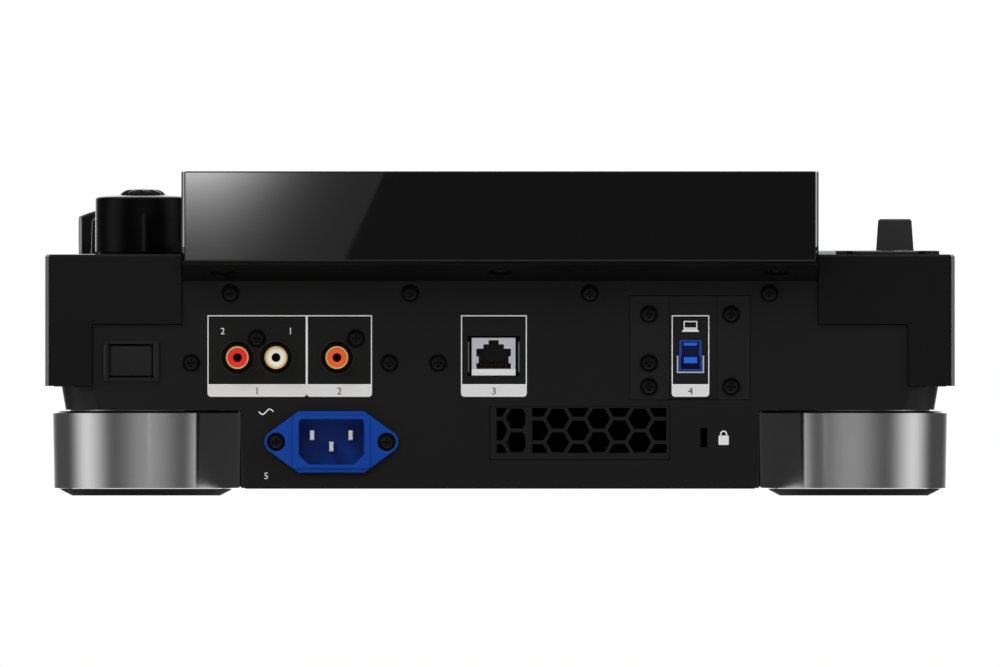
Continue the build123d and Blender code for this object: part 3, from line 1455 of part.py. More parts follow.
def make_jog_platter():
    """The turning wheel: scalloped rim over the deck, skirt through it, web and bearing hub."""
    web_top, bearing_bottom, _ = jog_levels()
    hub = jog_bearing_radius + running_gap
    web_bottom = web_top - jog_web
    low = deck_height + jog_float
    skirt_low = skin_bottom - jog_skirt_drop
    skirt_in = jog_skirt_radius - jog_skirt_wall
    rim_in = jog_radius - jog_rim_width
    shelf = rim_in - jog_shelf
    edge, drop, bevel, flat = jog_rim_edge
    r, seat = jog_radius, plate_seat()
    profile = [(hub, bearing_bottom), (hub + jog_hub_wall, bearing_bottom),
               (hub + jog_hub_wall, web_bottom), (skirt_in, web_bottom), (skirt_in, skirt_low),
               (jog_skirt_radius, skirt_low), (jog_skirt_radius, low), (r - edge, low),
               (r, low + edge), (r, jog_top - drop), (r - bevel, jog_top - edge / 2),
               (r - flat, jog_top), (rim_in + edge, jog_top), (rim_in, jog_top - edge / 2),
               (rim_in, seat), (shelf, seat), (shelf, web_top), (hub, web_top)]
    wheel = turned(profile, 0, jog_y)
    return fluted(wheel, 0, jog_y, r, jog_scallops, jog_scallop_radius, jog_scallop_depth,
                  low - cut_over, jog_top - edge)


def make_jog_plate():
    """Metal top plate of the jog wheel, with a stepped inner edge round the window."""
    web_top, _, _ = jog_levels()
    outer = jog_radius - jog_rim_width - fit_gap
    seat, top = plate_seat(), jog_top - jog_plate_sink
    inner, wall, bevel = jog_window_radius, jog_window_wall, jog_window_bevel
    profile = [(inner, web_top), (inner + wall, web_top), (inner + wall, seat), (outer, seat),
               (outer, top), (inner + 2 * bevel, top), (inner, top - bevel)]
    return turned(profile, 0, jog_y)


def make_jog_base():
    """Round pan that hangs under the deck skin and carries the jog wheel's centre post."""
    _, bearing_bottom, post_top = jog_levels()
    inner = jog_skirt_radius + jog_hole_gap
    floor = skin_bottom - jog_base_depth
    flange, wall = inner + jog_base_flange, jog_base_floor
    shoulder = jog_post_radius + jog_post_shoulder
    profile = [(0, floor - wall), (inner + wall, floor - wall), (inner + wall, skin_bottom - wall),
               (flange, skin_bottom - wall), (flange, skin_bottom), (inner, skin_bottom),
               (inner, floor), (shoulder, floor), (shoulder, bearing_bottom),
               (jog_post_radius, bearing_bottom), (jog_post_radius, post_top), (0, post_top)]
    return turned(profile, 0, jog_y)


def make_jog_bearing():
    """Bearing between the post and the hub, with a groove between its two races."""
    web_top, bearing_bottom, _ = jog_levels()
    middle = (jog_post_radius + jog_bearing_radius) / 2
    half, depth = jog_race_groove
    profile = [(jog_post_radius, bearing_bottom), (jog_bearing_radius, bearing_bottom),
               (jog_bearing_radius, web_top), (middle + half, web_top),
               (middle + half, web_top - depth), (middle - half, web_top - depth),
               (middle - half, web_top), (jog_post_radius, web_top)]
    return turned(profile, 0, jog_y)


def make_jog_display():
    """Fixed round display on top of the post, in the jog wheel's window."""
    _, _, post_top = jog_levels()
    top = post_top + jog_display_thickness
    r = jog_display_radius
    taper, rise, edge = jog_display_edge
    profile = [(0, post_top), (r - taper, post_top), (r, post_top + rise), (r, top - edge),
               (r - edge, top), (0, top)]
    return turned(profile, 0, jog_y)


# ---- write every node ----------------------------------------------------------------------
save("upper_case", make_upper_case())
save("deck_plate", make_deck_plate())
save("lower_case", make_lower_case())
save("rear_panel", make_rear_panel())
save("port_plate", make_port_plate())
save("vent_grille", make_vent())
save("display_housing", make_display_housing())
save("display_back_cover", make_display_back())
save("display_glass", make_display_glass())
save("lcd_panel", make_lcd_panel())
save("foot_cups", *make_foot_cups())
save("foot_pads", *make_foot_pads())
save("mains_inlet", make_mains_inlet())
save("mains_inlet_pins", *make_inlet_pins())

jack_pieces = {colour: make_jack(x) for colour, x in jacks.items()}
save("jack_collars", *[pieces[0] for pieces in jack_pieces.values()])
save("jack_sleeves", *[pieces[1] for pieces in jack_pieces.values()])
for colour, pieces in jack_pieces.items():
    save(f"jack_insert_{colour}", pieces[2])

link_shell, link_insert = make_link_jack()
save("link_jack_shell", link_shell)
save("link_jack_contacts", link_insert)
usb_shell, usb_insert = make_usb_b()
save("usb_b_shell", usb_shell)
save("usb_b_insert", usb_insert)
save("power_button_frame", make_power_frame())
save("power_button", make_power_button())
save("case_screws", *make_case_screws())

for key_name, key_place, key_size in key_places():
    save(key_name, make_key(key_place, key_size))
for button_name, button_y in round_buttons.items():
    save(button_name, make_round_button(button_y))
save("direction_lever", make_direction_lever())
save("browse_knob", make_browse_knob())
save("browse_plunger", make_browse_plunger())
save("jog_feel_knob", make_feel_knob())
save("tempo_cap", make_tempo_cap())
save("tempo_fader_body", make_tempo_body())
save("media_door", make_media_door())
save("media_bay", make_media_frame(), make_media_tray(), make_usb_a())

save("key_board", make_key_board())
save("main_board", make_main_board())
save("power_supply", make_power_supply())
save("jog_base", make_jog_base())
save("jog_bearing", make_jog_bearing())
save("jog_platter", make_jog_platter())
save("jog_top_plate", make_jog_plate())
save("jog_display", make_jog_display())
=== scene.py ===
"""Looks of the tabletop DJ media player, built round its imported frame.

Lengths in the classes below are millimetres.  Surface.make turns them into metres.
"""

import logging
import math
from collections.abc import Callable
from dataclasses import dataclass, field
from enum import Enum

import bpy
import numpy as np
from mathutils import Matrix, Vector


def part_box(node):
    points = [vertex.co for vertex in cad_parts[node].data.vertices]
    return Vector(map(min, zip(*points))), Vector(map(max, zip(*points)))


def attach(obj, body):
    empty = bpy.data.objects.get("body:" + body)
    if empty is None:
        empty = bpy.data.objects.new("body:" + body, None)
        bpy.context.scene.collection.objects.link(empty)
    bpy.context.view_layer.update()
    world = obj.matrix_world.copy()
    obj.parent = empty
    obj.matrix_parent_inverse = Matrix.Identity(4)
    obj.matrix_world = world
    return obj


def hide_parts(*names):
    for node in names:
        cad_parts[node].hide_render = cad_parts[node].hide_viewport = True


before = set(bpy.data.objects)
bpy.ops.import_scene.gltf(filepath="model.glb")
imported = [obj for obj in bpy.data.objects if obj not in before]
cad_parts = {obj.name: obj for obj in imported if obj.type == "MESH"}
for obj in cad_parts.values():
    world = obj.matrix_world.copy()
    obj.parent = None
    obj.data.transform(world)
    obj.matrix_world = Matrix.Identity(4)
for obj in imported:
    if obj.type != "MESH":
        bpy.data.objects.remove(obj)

MM = 0.001
PLAYER = "player"
# Faces that several sub-assemblies stand on: the rear panel's outside and the deck's top.
PANEL_Y = 203.2
DECK_Z = 87.2
# Narrowest corner and narrowest flat rim that a soft-edged block keeps.
MIN_CORNER = 0.02
FLAT_RIM = 0.12
log = logging.getLogger("player")
Array = np.ndarray
Pair = tuple[float, float]
Triple = tuple[float, float, float]
Swell = Callable[[Array, float, float], Array]
Shade = Callable[[bpy.types.NodeTree], bpy.types.NodeSocket]


# ---- finishes ------------------------------------------------------------------------------
class Texture(Enum):
    """How a surface was made, which decides its fine relief."""

    SMOOTH = "smooth"
    SPARK = "spark-eroded mould"
    POWDER = "powder coat"
    TURNED = "turned on a lathe"
    BRUSHED = "brushed in one direction"
    SOFT = "soft-touch lacquer"
    BOARD = "solder mask over tracks"


def linear(code: str) -> tuple[float, float, float, float]:
    """Turn an sRGB hex colour into linear red, green, blue and alpha.

    Args:
        code: the colour as "#rrggbb".

    Returns:
        Four linear values, the last one 1.
    """
    values = np.array([int(code[i:i + 2], 16) for i in (1, 3, 5)]) / 255
    values = np.where(values <= 0.04045, values / 12.92, ((values + 0.055) / 1.055) ** 2.4)
    return (*values.tolist(), 1.0)


def add_node(tree: bpy.types.NodeTree, kind: str, settings: dict | None = None,
             links: dict | None = None) -> bpy.types.Node:
    """Add a node to a tree with its settings and its incoming links.

    Args:
        tree: the node tree.
        kind: the node's type name.
        settings: socket or property values by name or socket number.
        links: the outputs that feed its sockets, by socket name or number.

    Returns:
        The new node.
    """
    node = tree.nodes.new(kind)
    for key, value in (settings or {}).items():
        if isinstance(key, int) or key in node.inputs:
            node.inputs[key].default_value = value
        else:
            setattr(node, key, value)
    for key, output in (links or {}).items():
        tree.links.new(output, node.inputs[key])
    return node


@dataclass(frozen=True)
class Finish:
    """One real material with its surface treatment.

    The fields are its common name, its colour, how rough and metallic it is, its relief with
    the real spacing of that relief, and the radius of the small rounding on moulded edges.
    """

    name: str
    colour: str
    roughness: float
    texture: Texture = Texture.SMOOTH
    grain: float = 0.3
    relief: float = 0.1
    metallic: float = 0.0
    ior: float = 1.5
    specular: float = 0.5
    coat: float = 0.0
    anisotropy: float = 0.0
    edge: float = 0.0
    clouds: float = 0.06

    def material(self) -> bpy.types.Material:
        """Build the material once and return it after that."""
        known = bpy.data.materials.get(self.name)
        return known if known else self.build()

    def relief_height(self, tree: bpy.types.NodeTree) -> bpy.types.NodeSocket:
        """Add the nodes of the fine relief.

        Turned and brushed surfaces read the piece's own map of lengths, whose first direction
        runs round the piece, so that the tool's lines follow it.  The others read the object's
        place.

        Args:
            tree: the material's node tree.

        Returns:
            The socket that carries the relief's height.
        """
        place = add_node(tree, "ShaderNodeTexCoord")
        pitch = 1 / (self.grain * MM)
        lines = self.texture in (Texture.TURNED, Texture.BRUSHED)
        source = place.outputs["UV" if self.texture is Texture.TURNED else "Object"]
        # A tool's line is some sixty times as long as it is wide.
        stretch = (pitch / 60, pitch, pitch / 60) if lines else (pitch, pitch, pitch)
        mapping = add_node(tree, "ShaderNodeMapping", {"Scale": stretch}, {"Vector": source})
        if self.texture is Texture.BOARD:
            return add_node(tree, "ShaderNodeTexBrick", {"Scale": 1.0, "Mortar Size": 0.12},
                            {"Vector": mapping.outputs[0]}).outputs["Fac"]
        noise = {"Scale": 1.0, "Detail": 2.0, "Roughness": 0.6}
        return add_node(tree, "ShaderNodeTexNoise", noise,
                        {"Vector": mapping.outputs[0]}).outputs[0]

    def build(self) -> bpy.types.Material:
        """Build the material: tinted clouds, uneven gloss, fine relief and softened edges.

        Returns:
            The finished material.
        """
        made = bpy.data.materials.new(self.name)
        made.use_nodes = True
        tree = made.node_tree
        shader = tree.nodes["Principled BSDF"]
        for key, value in {"Metallic": self.metallic, "Coat Weight": self.coat,
                           "Specular IOR Level": self.specular,
                           "Anisotropic": self.anisotropy,
                           "Anisotropic Rotation": 0.25}.items():
            shader.inputs[key].default_value = value
        if not self.metallic:
            shader.inputs["IOR"].default_value = self.ior
        place = add_node(tree, "ShaderNodeTexCoord")
        # Clouds about 25 mm across: the slight unevenness of a real coat or moulding.
        cloud = add_node(tree, "ShaderNodeTexNoise", {"Scale": 40.0, "Detail": 3.0},
                         {"Vector": place.outputs["Object"]})
        colour = linear(self.colour)
        spread = self.clouds
        tint = add_node(tree, "ShaderNodeMix", {
            "data_type": "RGBA", 6: tuple(v * (1 - spread) for v in colour[:3]) + (1.0,),
            7: tuple(min(1.0, v * (1 + spread)) for v in colour[:3]) + (1.0,)},
            {0: cloud.outputs[0]})
        tree.links.new(tint.outputs[2], shader.inputs["Base Color"])
        uneven = min(0.04, self.roughness / 2)
        gloss = add_node(tree, "ShaderNodeMapRange", {"To Min": self.roughness - uneven,
                                                      "To Max": self.roughness + uneven},
                         {"Value": cloud.outputs[0]})
        tree.links.new(gloss.outputs[0], shader.inputs["Roughness"])
        normal = None
        if self.edge:
            normal = add_node(tree, "ShaderNodeBevel", {"Radius": self.edge * MM, "samples": 6})
        if self.texture is not Texture.SMOOTH:
            # Bump distance is the relief's own height, a tenth of its spacing.
            bump = add_node(tree, "ShaderNodeBump", {"Strength": self.relief,
                                                     "Distance": self.grain * MM / 10},
                            {"Height": self.relief_height(tree)})
            if normal:
                tree.links.new(normal.outputs[0], bump.inputs["Normal"])
            normal = bump
        if normal:
            tree.links.new(normal.outputs[0], shader.inputs["Normal"])
        if self.anisotropy:
            lie = add_node(tree, "ShaderNodeTangent", {"direction_type": "UV_MAP"})
            tree.links.new(lie.outputs[0], shader.inputs["Tangent"])
        return made


# Moulded ABS: a spark-eroded mould leaves a fine even grain that breaks up every reflection.
CASE_ABS = Finish("moulded_black_abs", "#141414", 0.32, Texture.SPARK, 0.5, 0.3, edge=0.3,
                  specular=0.12)
# The lower case is the same plastic, washed out a little by its coarser grain. The phono
# collars' outer rims take it too, paler than the collars as a painted highlight.
PAN_ABS_AND_RIM_HIGHLIGHT = Finish("coarse_black_abs_and_rim_highlight", "#272727", 0.4, Texture.SPARK, 0.7, 0.4, edge=0.3,
                 specular=0.15)
# The display's housing comes from the same mould shop with a finer grain.
HOUSING_ABS = Finish("fine_grained_black_abs", "#101010", 0.35, Texture.SPARK, 0.35, 0.3,
                     edge=0.3, specular=0.12)
# Polyester powder coat on sheet steel: a faint orange peel and a satin sheen.
PANEL_COAT = Finish("black_powder_coated_steel", "#1b1b1b", 0.45, Texture.POWDER, 0.9, 0.35,
                    edge=0.3, specular=0.14)
# The port plate and the vent carry a slightly glossier batch of the same coat.
PLATE_COAT = Finish("black_coated_port_plate", "#1c1c1c", 0.45, Texture.POWDER, 0.9, 0.35,
                    edge=0.35, specular=0.2)
GRILLE_COAT = Finish("black_coated_vent_steel", "#1a1a1a", 0.5, Texture.POWDER, 0.7, 0.3,
                     edge=0.25, specular=0.2)
# Brushed and black anodised aluminium: long fine scratches across the deck.
DECK_ANODISED = Finish("brushed_black_anodised_deck", "#1d1d1f", 0.42, Texture.BRUSHED, 0.25,
                       0.25, metallic=0.6, edge=0.25)
# Cast acrylic, flame polished: a deep black mirror.
ACRYLIC = Finish("polished_black_acrylic", "#060606", 0.03, clouds=0.0)
# Glass printed black from behind: a clear mirror with a thin hard coat.
SCREEN_GLASS = Finish("black_printed_cover_glass", "#050607", 0.05, ior=1.52, coat=0.3,
                      edge=0.4, clouds=0.0)
# A dark liquid crystal panel: satin and nearly black while it is off.
SCREEN_PANEL = Finish("liquid_crystal_panel", "#0a0d10", 0.2)
# Aluminium cup turned on a lathe: fine lines run round it and smear light up and down.
FOOT_METAL = Finish("turned_aluminium_foot", "#d2d2d2", 0.16, Texture.TURNED, 0.35, 0.15,
                    metallic=1.0, anisotropy=0.9, clouds=0.03)
# Moulded rubber: dead matt and deep black.
FOOT_RUBBER = Finish("black_rubber_pad", "#060606", 0.8, Texture.SPARK, 0.6, 0.5,
                     specular=0.08)
# Glass-filled nylon in signal blue: semi-matt with soft moulded edges.
INLET_NYLON = Finish("moulded_blue_nylon", "#0043a6", 0.4, Texture.SPARK, 0.4, 0.25,
                     edge=0.6, specular=0.2)
# Plain nickel plate over brass: a pale, softly bright grey.
PIN_NICKEL = Finish("nickel_plated_pin", "#f2f2f0", 0.3, metallic=0.4, edge=0.2)
# Glass-filled black nylon: a fine even grain that hardly shines.
JACK_NYLON = Finish("moulded_black_nylon", "#060606", 0.4, Texture.SPARK, 0.4, 0.3, edge=0.3,
                    specular=0.12)
# Thin dull plating: about half of the light comes back spread, the rest as a metal's.
JACK_GOLD = Finish("gold_plated_sleeve", "#ffcf84", 0.3, metallic=0.4)
# Coloured nylon inserts: clear strong colours under the gloss of a polished mould.
JACK_RED = Finish("moulded_red_insert", "#ff1408", 0.35, coat=0.3)
JACK_WHITE = Finish("moulded_ivory_insert", "#fff8e8", 0.35, coat=0.3)
JACK_ORANGE = Finish("moulded_orange_insert", "#ff6408", 0.35, coat=0.3)
# Tinned sheet steel: a faintly violet grey. The folded lip is a paler copy of it, a painted
# highlight.
SHIELD_TIN = Finish("tinned_steel_shield", "#dedce8", 0.35, metallic=0.4, edge=0.2)
LIP_TIN_HIGHLIGHT = Finish("painted_highlight_tinned_lip", "#fafaf6", 0.3, metallic=0.15, edge=0.2)
# Painted highlight: the walls of the network socket's recess are a flat pale grey for the light
# they catch.
RECESS_HIGHLIGHT = Finish("painted_highlight_recess_edge", "#77777b", 0.5)
# Gold flash on phosphor bronze wires: a warm gleam in the dark mouth.
CONTACT_GOLD = Finish("gold_flashed_contact", "#c89a3c", 0.3, metallic=1.0)
# Black thermoplastic behind the contacts: flat and dark.
JACK_CORE = Finish("black_contact_carrier", "#141414", 0.45)
# Blue thermoplastic, bright on the glossy tongues. The body round them is a darker copy of the
# same blue, painted shade of the recess.
USB_BLUE = Finish("moulded_blue_insert", "#0a6cf0", 0.32, coat=0.25, edge=0.25)
USB_SHADED_BLUE = Finish("painted_shade_blue_insert_body", "#0a3c9c", 0.4)
# Black oxide on steel: dark, slightly oily, with the recess showing as shade.
SCREW_OXIDE = Finish("black_oxide_screw", "#0b0b0b", 0.34, Texture.SPARK, 0.3, 0.1,
                     specular=0.22)
# Painted shade: a near-black matt ring round each rear screw head, for the shade of the pressed
# dimple it sits in, and the same black along the tub's lower edge.
SHADE_BLACK = Finish("painted_shade_black", "#050505", 0.5, specular=0.08)
# Painted highlight: the power frame's thin ribs are a paler grey than the frame, for the light
# along their edges.
RIB_HIGHLIGHT = Finish("painted_highlight_rib_edge", "#3c3c3c", 0.45, specular=0.2)
# Moulded ABS keys and switch cap: a fine grain with a soft highlight on the rounded edges.
KEY_ABS = Finish("moulded_key_plastic", "#222222", 0.4, Texture.SPARK, 0.3, 0.3, edge=0.3,
                 specular=0.2)
SWITCH_ABS = Finish("satin_switch_cap", "#1e1e1e", 0.4, Texture.SPARK, 0.4, 0.3, edge=0.3,
                    specular=0.2)
# Pale silicone rubber: milky, with a velvety, almost shadowless sheen.
KEY_SILICONE = Finish("pale_silicone_key", "#b9bbbd", 0.55, Texture.SOFT, 0.4, 0.3)
# Soft lacquer over ABS on the fader's cap and the knobs: black with a broad satin glow.
CAP_SOFT = Finish("satin_black_fader_cap", "#0a0a0a", 0.36, Texture.SOFT, 0.3, 0.1,
                  specular=0.2)
KNOB_SOFT = Finish("satin_black_knob", "#030303", 0.2, Texture.SOFT, 0.3, 0.08, specular=0.12)
# The lever is a shade paler than the keys.
LEVER_ABS = Finish("moulded_lever_plastic", "#343434", 0.4, Texture.SPARK, 0.3, 0.2, edge=0.3,
                   specular=0.2)
# The jog's rim is satin ABS, and its plate is spun aluminium with rings that fan the light.
JOG_ABS = Finish("satin_black_jog_rim", "#0d0d0d", 0.32, Texture.SPARK, 0.4, 0.2)
JOG_SPUN = Finish("spun_black_anodised_plate", "#2a2a2c", 0.3, Texture.TURNED, 0.3, 0.3,
                  metallic=1.0, anisotropy=0.6, clouds=0.03)
# Smoked polycarbonate: a glossy dark ring that would glow from behind.
RING_LENS = Finish("smoked_ring_lens", "#2b2c2e", 0.25, coat=0.4)
# Green solder mask: the copper tracks stand up under it, drawn 4 mm apart so that they show.
SOLDER_MASK = Finish("green_solder_mask", "#0f4a26", 0.35, Texture.BOARD, 4.0, 0.5, edge=0.2)
# Zinc plated sheet steel: a grey drawn sheen along the rolling direction.
ZINC_STEEL = Finish("zinc_plated_steel", "#a9abad", 0.35, Texture.BRUSHED, 0.3, 0.2,
                    metallic=1.0, edge=0.2)
# Screen-printed ink lies a few hundredths of a millimetre proud and is dead matt.
WHITE_INK = Finish("white_screen_ink", "#f4f4f4", 0.7, clouds=0.02)
GREY_INK = Finish("pale_grey_screen_ink", "#ececec", 0.7, clouds=0.02)
BLACK_INK = Finish("black_screen_ink", "#161616", 0.7, clouds=0.02)
PLAY_GREEN = Finish("green_key_mark", "#3fae58", 0.6, clouds=0.02)
CUE_AMBER = Finish("amber_key_mark", "#d98a1e", 0.6, clouds=0.02)


# ---- surfaces ------------------------------------------------------------------------------
@dataclass(frozen=True)
class Place:
    """A flat place on the object: its middle and its right, up and outward directions."""

    origin: Triple
    right: Triple
    up: Triple
    out: Triple

    def at(self, points: Array) -> Array:
        """Carry points from the place's own (right, up, out) measures into the player's frame.

        The formula is origin + right * a + up * b + out * c for each point (a, b, c).

        Args:
            points: an array whose last axis holds the three measures.

        Returns:
            An array of the same shape with X, Y and Z.
        """
        return np.asarray(self.origin) + points @ np.array([self.right, self.up, self.out])

    def moved(self, a: float, b: float, c: float = 0.0) -> "Place":
        """The same place with its middle moved by its own measures."""
        return Place(tuple(self.at(np.array([a, b, c]))), self.right, self.up, self.out)


def rear(x: float, z: float, y: float = PANEL_Y) -> Place:
    """A place on a face that looks to the rear, right being -X."""
    return Place((x, y, z), (-1, 0, 0), (0, 0, 1), (0, 1, 0))


def deck(x: float, y: float, z: float = DECK_Z) -> Place:
    """A place on a face that looks up, right being +X."""
    return Place((x, y, z), (1, 0, 0), (0, 1, 0), (0, 0, 1))


def circle(radius: float, count: int = 64, swell: Array | float = 0.0) -> Array:
    """Points round a circle: radius + swell times the cosine and sine of even angles.

    Args:
        radius: the circle's radius.
        count: how many points it has.
        swell: what is added to the radius, one value or one for each point.

    Returns:
        An array of (count, 2).
    """
    angle = np.arange(count) * 2 * np.pi / count
    unit = np.stack([np.cos(angle), np.sin(angle)], -1)
    return (radius + np.asarray(swell))[..., None] * unit


def rounded(width: float, height: float, radius: float, inset: float = 0.0,
            steps: int = 5) -> Array:
    """Points round a rectangle with rounded corners, drawn in from its edge by an inset.

    Each corner is a quarter circle about a middle that lies one radius in from both sides.

    Args:
        width: size along the first direction.
        height: size along the second.
        radius: corner radius before the inset.
        inset: how far the outline is drawn in.
        steps: spans of each quarter circle.

    Returns:
        An array of (4 * steps + 4, 2).
    """
    corner_radius = max(radius - inset, MIN_CORNER)
    quarter = np.linspace(0, np.pi / 2, steps + 1)
    turn = np.arange(4)[:, None] * np.pi / 2
    angle = (turn + quarter).ravel()
    middle = np.repeat(turn + np.pi / 4, steps + 1)
    half = np.array([width, height]) / 2 - inset - corner_radius
    signs = np.stack([np.sign(np.cos(middle)), np.sign(np.sin(middle))], -1)
    return signs * half + corner_radius * np.stack([np.cos(angle), np.sin(angle)], -1)


def edge(low: float, high: float, radius: float, steps: int = 4) -> list[Pair]:
    """Levels (inset, height) of a wall, a quarter-round edge and a narrow flat rim.

    The rim keeps the wide top face's own shading flat.

    Args:
        low: the wall's foot.
        high: the top face.
        radius: radius of the quarter round.
        steps: its spans.

    Returns:
        The levels from the foot to the top face.
    """
    angle = np.linspace(0, np.pi / 2, steps + 1)
    arc = zip(radius * (1 - np.cos(angle)), high - radius * (1 - np.sin(angle)))
    return [(0.0, low), *[(float(a), float(b)) for a, b in arc], (radius + FLAT_RIM, high)]


def sideways(path: Array, half: float) -> Array:
    """Offsets square to a path: its direction (dx, dy) turned to (-dy, dx), at a set length.

    Args:
        path: the path's points, (x, y) each.
        half: length of each offset.

    Returns:
        One offset for each point.
    """
    step = np.gradient(path, axis=0)
    side = np.stack([-step[:, 1], step[:, 0]], -1)
    return side * (half / np.linalg.norm(side, axis=1, keepdims=True))


def lifted(outlines: list[Array], heights: list[float]) -> Array:
    """Rings of (right, up, out) measures: each flat outline lifted to its own height."""
    return np.array([np.column_stack([ring, np.full(len(ring), height)])
                     for ring, height in zip(outlines, heights)])


class Surface:
    """A mesh in the making: grids of points joined into faces, with a map of real lengths."""

    def __init__(self) -> None:
        """Start with nothing."""
        self.points: list[Array] = []
        self.faces: list[list[int]] = []
        self.lengths: list[Array] = []
        self.count = 0

    def add(self, points: Array, faces: list[list[int]], lengths: Array) -> "Surface":
        """Add a piece of mesh.

        Args:
            points: its points in the player's frame.
            faces: the numbers of each face's points.
            lengths: one point of the map for each face corner.

        Returns:
            The surface itself.
        """
        self.points.append(points)
        self.faces += [[n + self.count for n in face] for face in faces]
        self.lengths.append(lengths)
        self.count += len(points)
        return self

    def stack(self, rings: Array, loop: bool = False) -> "Surface":
        """Join closed rings into a skin.

        Ring k and ring k + 1 are joined point by point with four-sided faces, round the ring.
        The two end rings are closed by flat faces, or joined to each other where the skin is
        a loop.  The signed volume, a sixth of the sum of a . (b x c) over the faces, tells
        whether the skin is inside out, and then every face is turned round.

        Args:
            rings: points in the player's frame, as (rings, points round, 3).
            loop: whether the last ring joins the first.

        Returns:
            The surface itself.
        """
        rows, around, _ = rings.shape
        index = np.arange(rows * around).reshape(rows, around)
        upper = np.roll(index, -1, 0) if loop else index[1:]
        lower = index if loop else index[:-1]
        quads = np.stack([lower, np.roll(lower, -1, 1), np.roll(upper, -1, 1), upper], -1)
        quads = quads.reshape(-1, 4)
        girth = np.linalg.norm(np.roll(rings, -1, 1) - rings, axis=2).max(0)
        across = np.concatenate([[0.0], np.cumsum(girth)])
        rise = np.linalg.norm(np.diff(rings, axis=0), axis=2).mean(1)
        along = np.concatenate([[0.0], np.cumsum(rise), [0.0]])
        n, k = np.meshgrid(np.arange(around), np.arange(len(lower)))
        corner_n = np.stack([n, n + 1, n + 1, n], -1).reshape(-1, 4)
        corner_k = np.stack([k, k, k + 1, k + 1], -1).reshape(-1, 4)
        lengths = np.stack([across[corner_n], along[corner_k]], -1).reshape(-1, 2) * MM
        points = rings.reshape(-1, 3)
        a, b, c, d = (points[quads[:, i]] for i in range(4))
        volume = (a * (np.cross(b, c) + np.cross(c, d))).sum()
        faces = quads.tolist()
        if not loop:
            ends = [index[0][::-1].tolist(), index[-1].tolist()]
            for ring, ordered in ((rings[0][::-1], ends[0]), (rings[-1], ends[1])):
                spokes = ring[1:] - ring[0]
                volume += (ring[0] * np.cross(spokes[:-1], spokes[1:]).sum(0)).sum()
                flat = ring - ring.mean(0)
                keep = np.argsort(np.ptp(flat, axis=0))[1:]
                lengths = np.concatenate([lengths, flat[:, keep] * MM])
                faces.append(ordered)
        if volume < 0:
            sizes = [len(face) for face in faces]
            starts = np.concatenate([[0], np.cumsum(sizes)])
            lengths = np.concatenate([lengths[s:e][::-1] for s, e in zip(starts, starts[1:])])
            faces = [face[::-1] for face in faces]
        return self.add(points, faces, lengths)

    def block(self, place: Place, size: Triple, levels: list[Pair]) -> "Surface":
        """Add a block whose rounded outline shrinks level by level, such as a soft-edged key.

        Args:
            place: where the block stands.
            size: its width, its height and its corner radius.
            levels: pairs of inset and height above the place.

        Returns:
            The surface itself.
        """
        rings = lifted([rounded(*size, inset) for inset, _ in levels], [b for _, b in levels])
        return self.stack(place.at(rings))

    def turn(self, place: Place, profile: list[Pair], count: int = 96,
             swell: Swell | None = None, loop: bool = False) -> "Surface":
        """Add a turned body: the profile's radius carried round the place's outward axis.

        A profile that runs to the axis stops a hair short of it, so that no face collapses.

        Args:
            place: the axis, at its foot.
            profile: pairs of radius and height.
            count: points round the body.
            swell: gives what is added to the radius, from the angles, radius and height.
            loop: whether the profile closes on itself, as a tube's does.

        Returns:
            The surface itself.
        """
        angle = np.arange(count) * 2 * np.pi / count
        rings = [circle(radius, count, swell(angle, radius, height) if swell else 0.0)
                 for radius, height in profile]
        return self.stack(place.at(lifted(rings, [b for _, b in profile])), loop=loop)

    def frame(self, place: Place, outer: Array, inner: Array, low: float,
              high: float) -> "Surface":
        """Add a flat band between two outlines with equal point counts, from low to high."""
        rings = lifted([outer, outer, inner, inner], [low, high, high, low])
        return self.stack(place.at(rings), loop=True)

    def plate(self, place: Place, outline: Array, low: float, high: float) -> "Surface":
        """Add a flat plate with the given outline, from low to high."""
        return self.stack(place.at(lifted([outline, outline], [low, high])))

    def words(self, place: Place, text: str, height: float, low: float = 0.0,
              thickness: float = 0.04) -> "Surface":
        """Add printed figures, centred on the place.

        Args:
            place: the middle of the figures.
            text: the figures.
            height: how tall they are.
            low: where the ink starts above the place.
            thickness: the ink's thickness.

        Returns:
            The surface itself.
        """
        curve = bpy.data.curves.new("figures", "FONT")
        curve.body = text
        curve.resolution_u = 4
        curve.extrude = 0.5
        holder = bpy.data.objects.new("figures", curve)
        mesh = bpy.data.meshes.new_from_object(holder)
        points = np.empty(len(mesh.vertices) * 3)
        mesh.vertices.foreach_get("co", points)
        points = points.reshape(-1, 3)
        faces = [list(face.vertices) for face in mesh.polygons]
        low_corner, high_corner = points.min(0), points.max(0)
        points -= (low_corner + high_corner) / 2
        points *= [height / (high_corner - low_corner)[1]] * 2 + [thickness]
        points[:, 2] += low + thickness / 2
        bpy.data.objects.remove(holder)
        bpy.data.curves.remove(curve)
        bpy.data.meshes.remove(mesh)
        return self.add(place.at(points), faces, np.zeros((sum(map(len, faces)), 2)))

    def make(self, name: str, finish: Finish, body: str = PLAYER, slot: str = "",
             replaces: tuple[str, ...] = (), crease: float = 34.0) -> bpy.types.Object:
        """Turn the surface into a finished piece.

        Args:
            name: the piece's name.
            finish: its material.
            body: the moving body that carries it.
            slot: the record's material slot; not used.
            replaces: nodes that the piece stands for.
            crease: the angle in degrees past which an edge stays sharp.

        Returns:
            The new object.
        """
        mesh = bpy.data.meshes.new(name)
        mesh.from_pydata((np.concatenate(self.points) * MM).tolist(), [], self.faces)
        layer = mesh.uv_layers.new(name="lengths")
        layer.data.foreach_set("uv", np.concatenate(self.lengths).ravel())
        mesh.shade_smooth()
        mesh.set_sharp_from_angle(angle=math.radians(crease))
        mesh.materials.append(finish.material())
        made = bpy.data.objects.new(name, mesh)
        bpy.context.scene.collection.objects.link(made)
        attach(made, body)
        if replaces:
            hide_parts(*replaces)
        log.info("%s: %d faces on %s", name, len(self.faces), body)
        return made


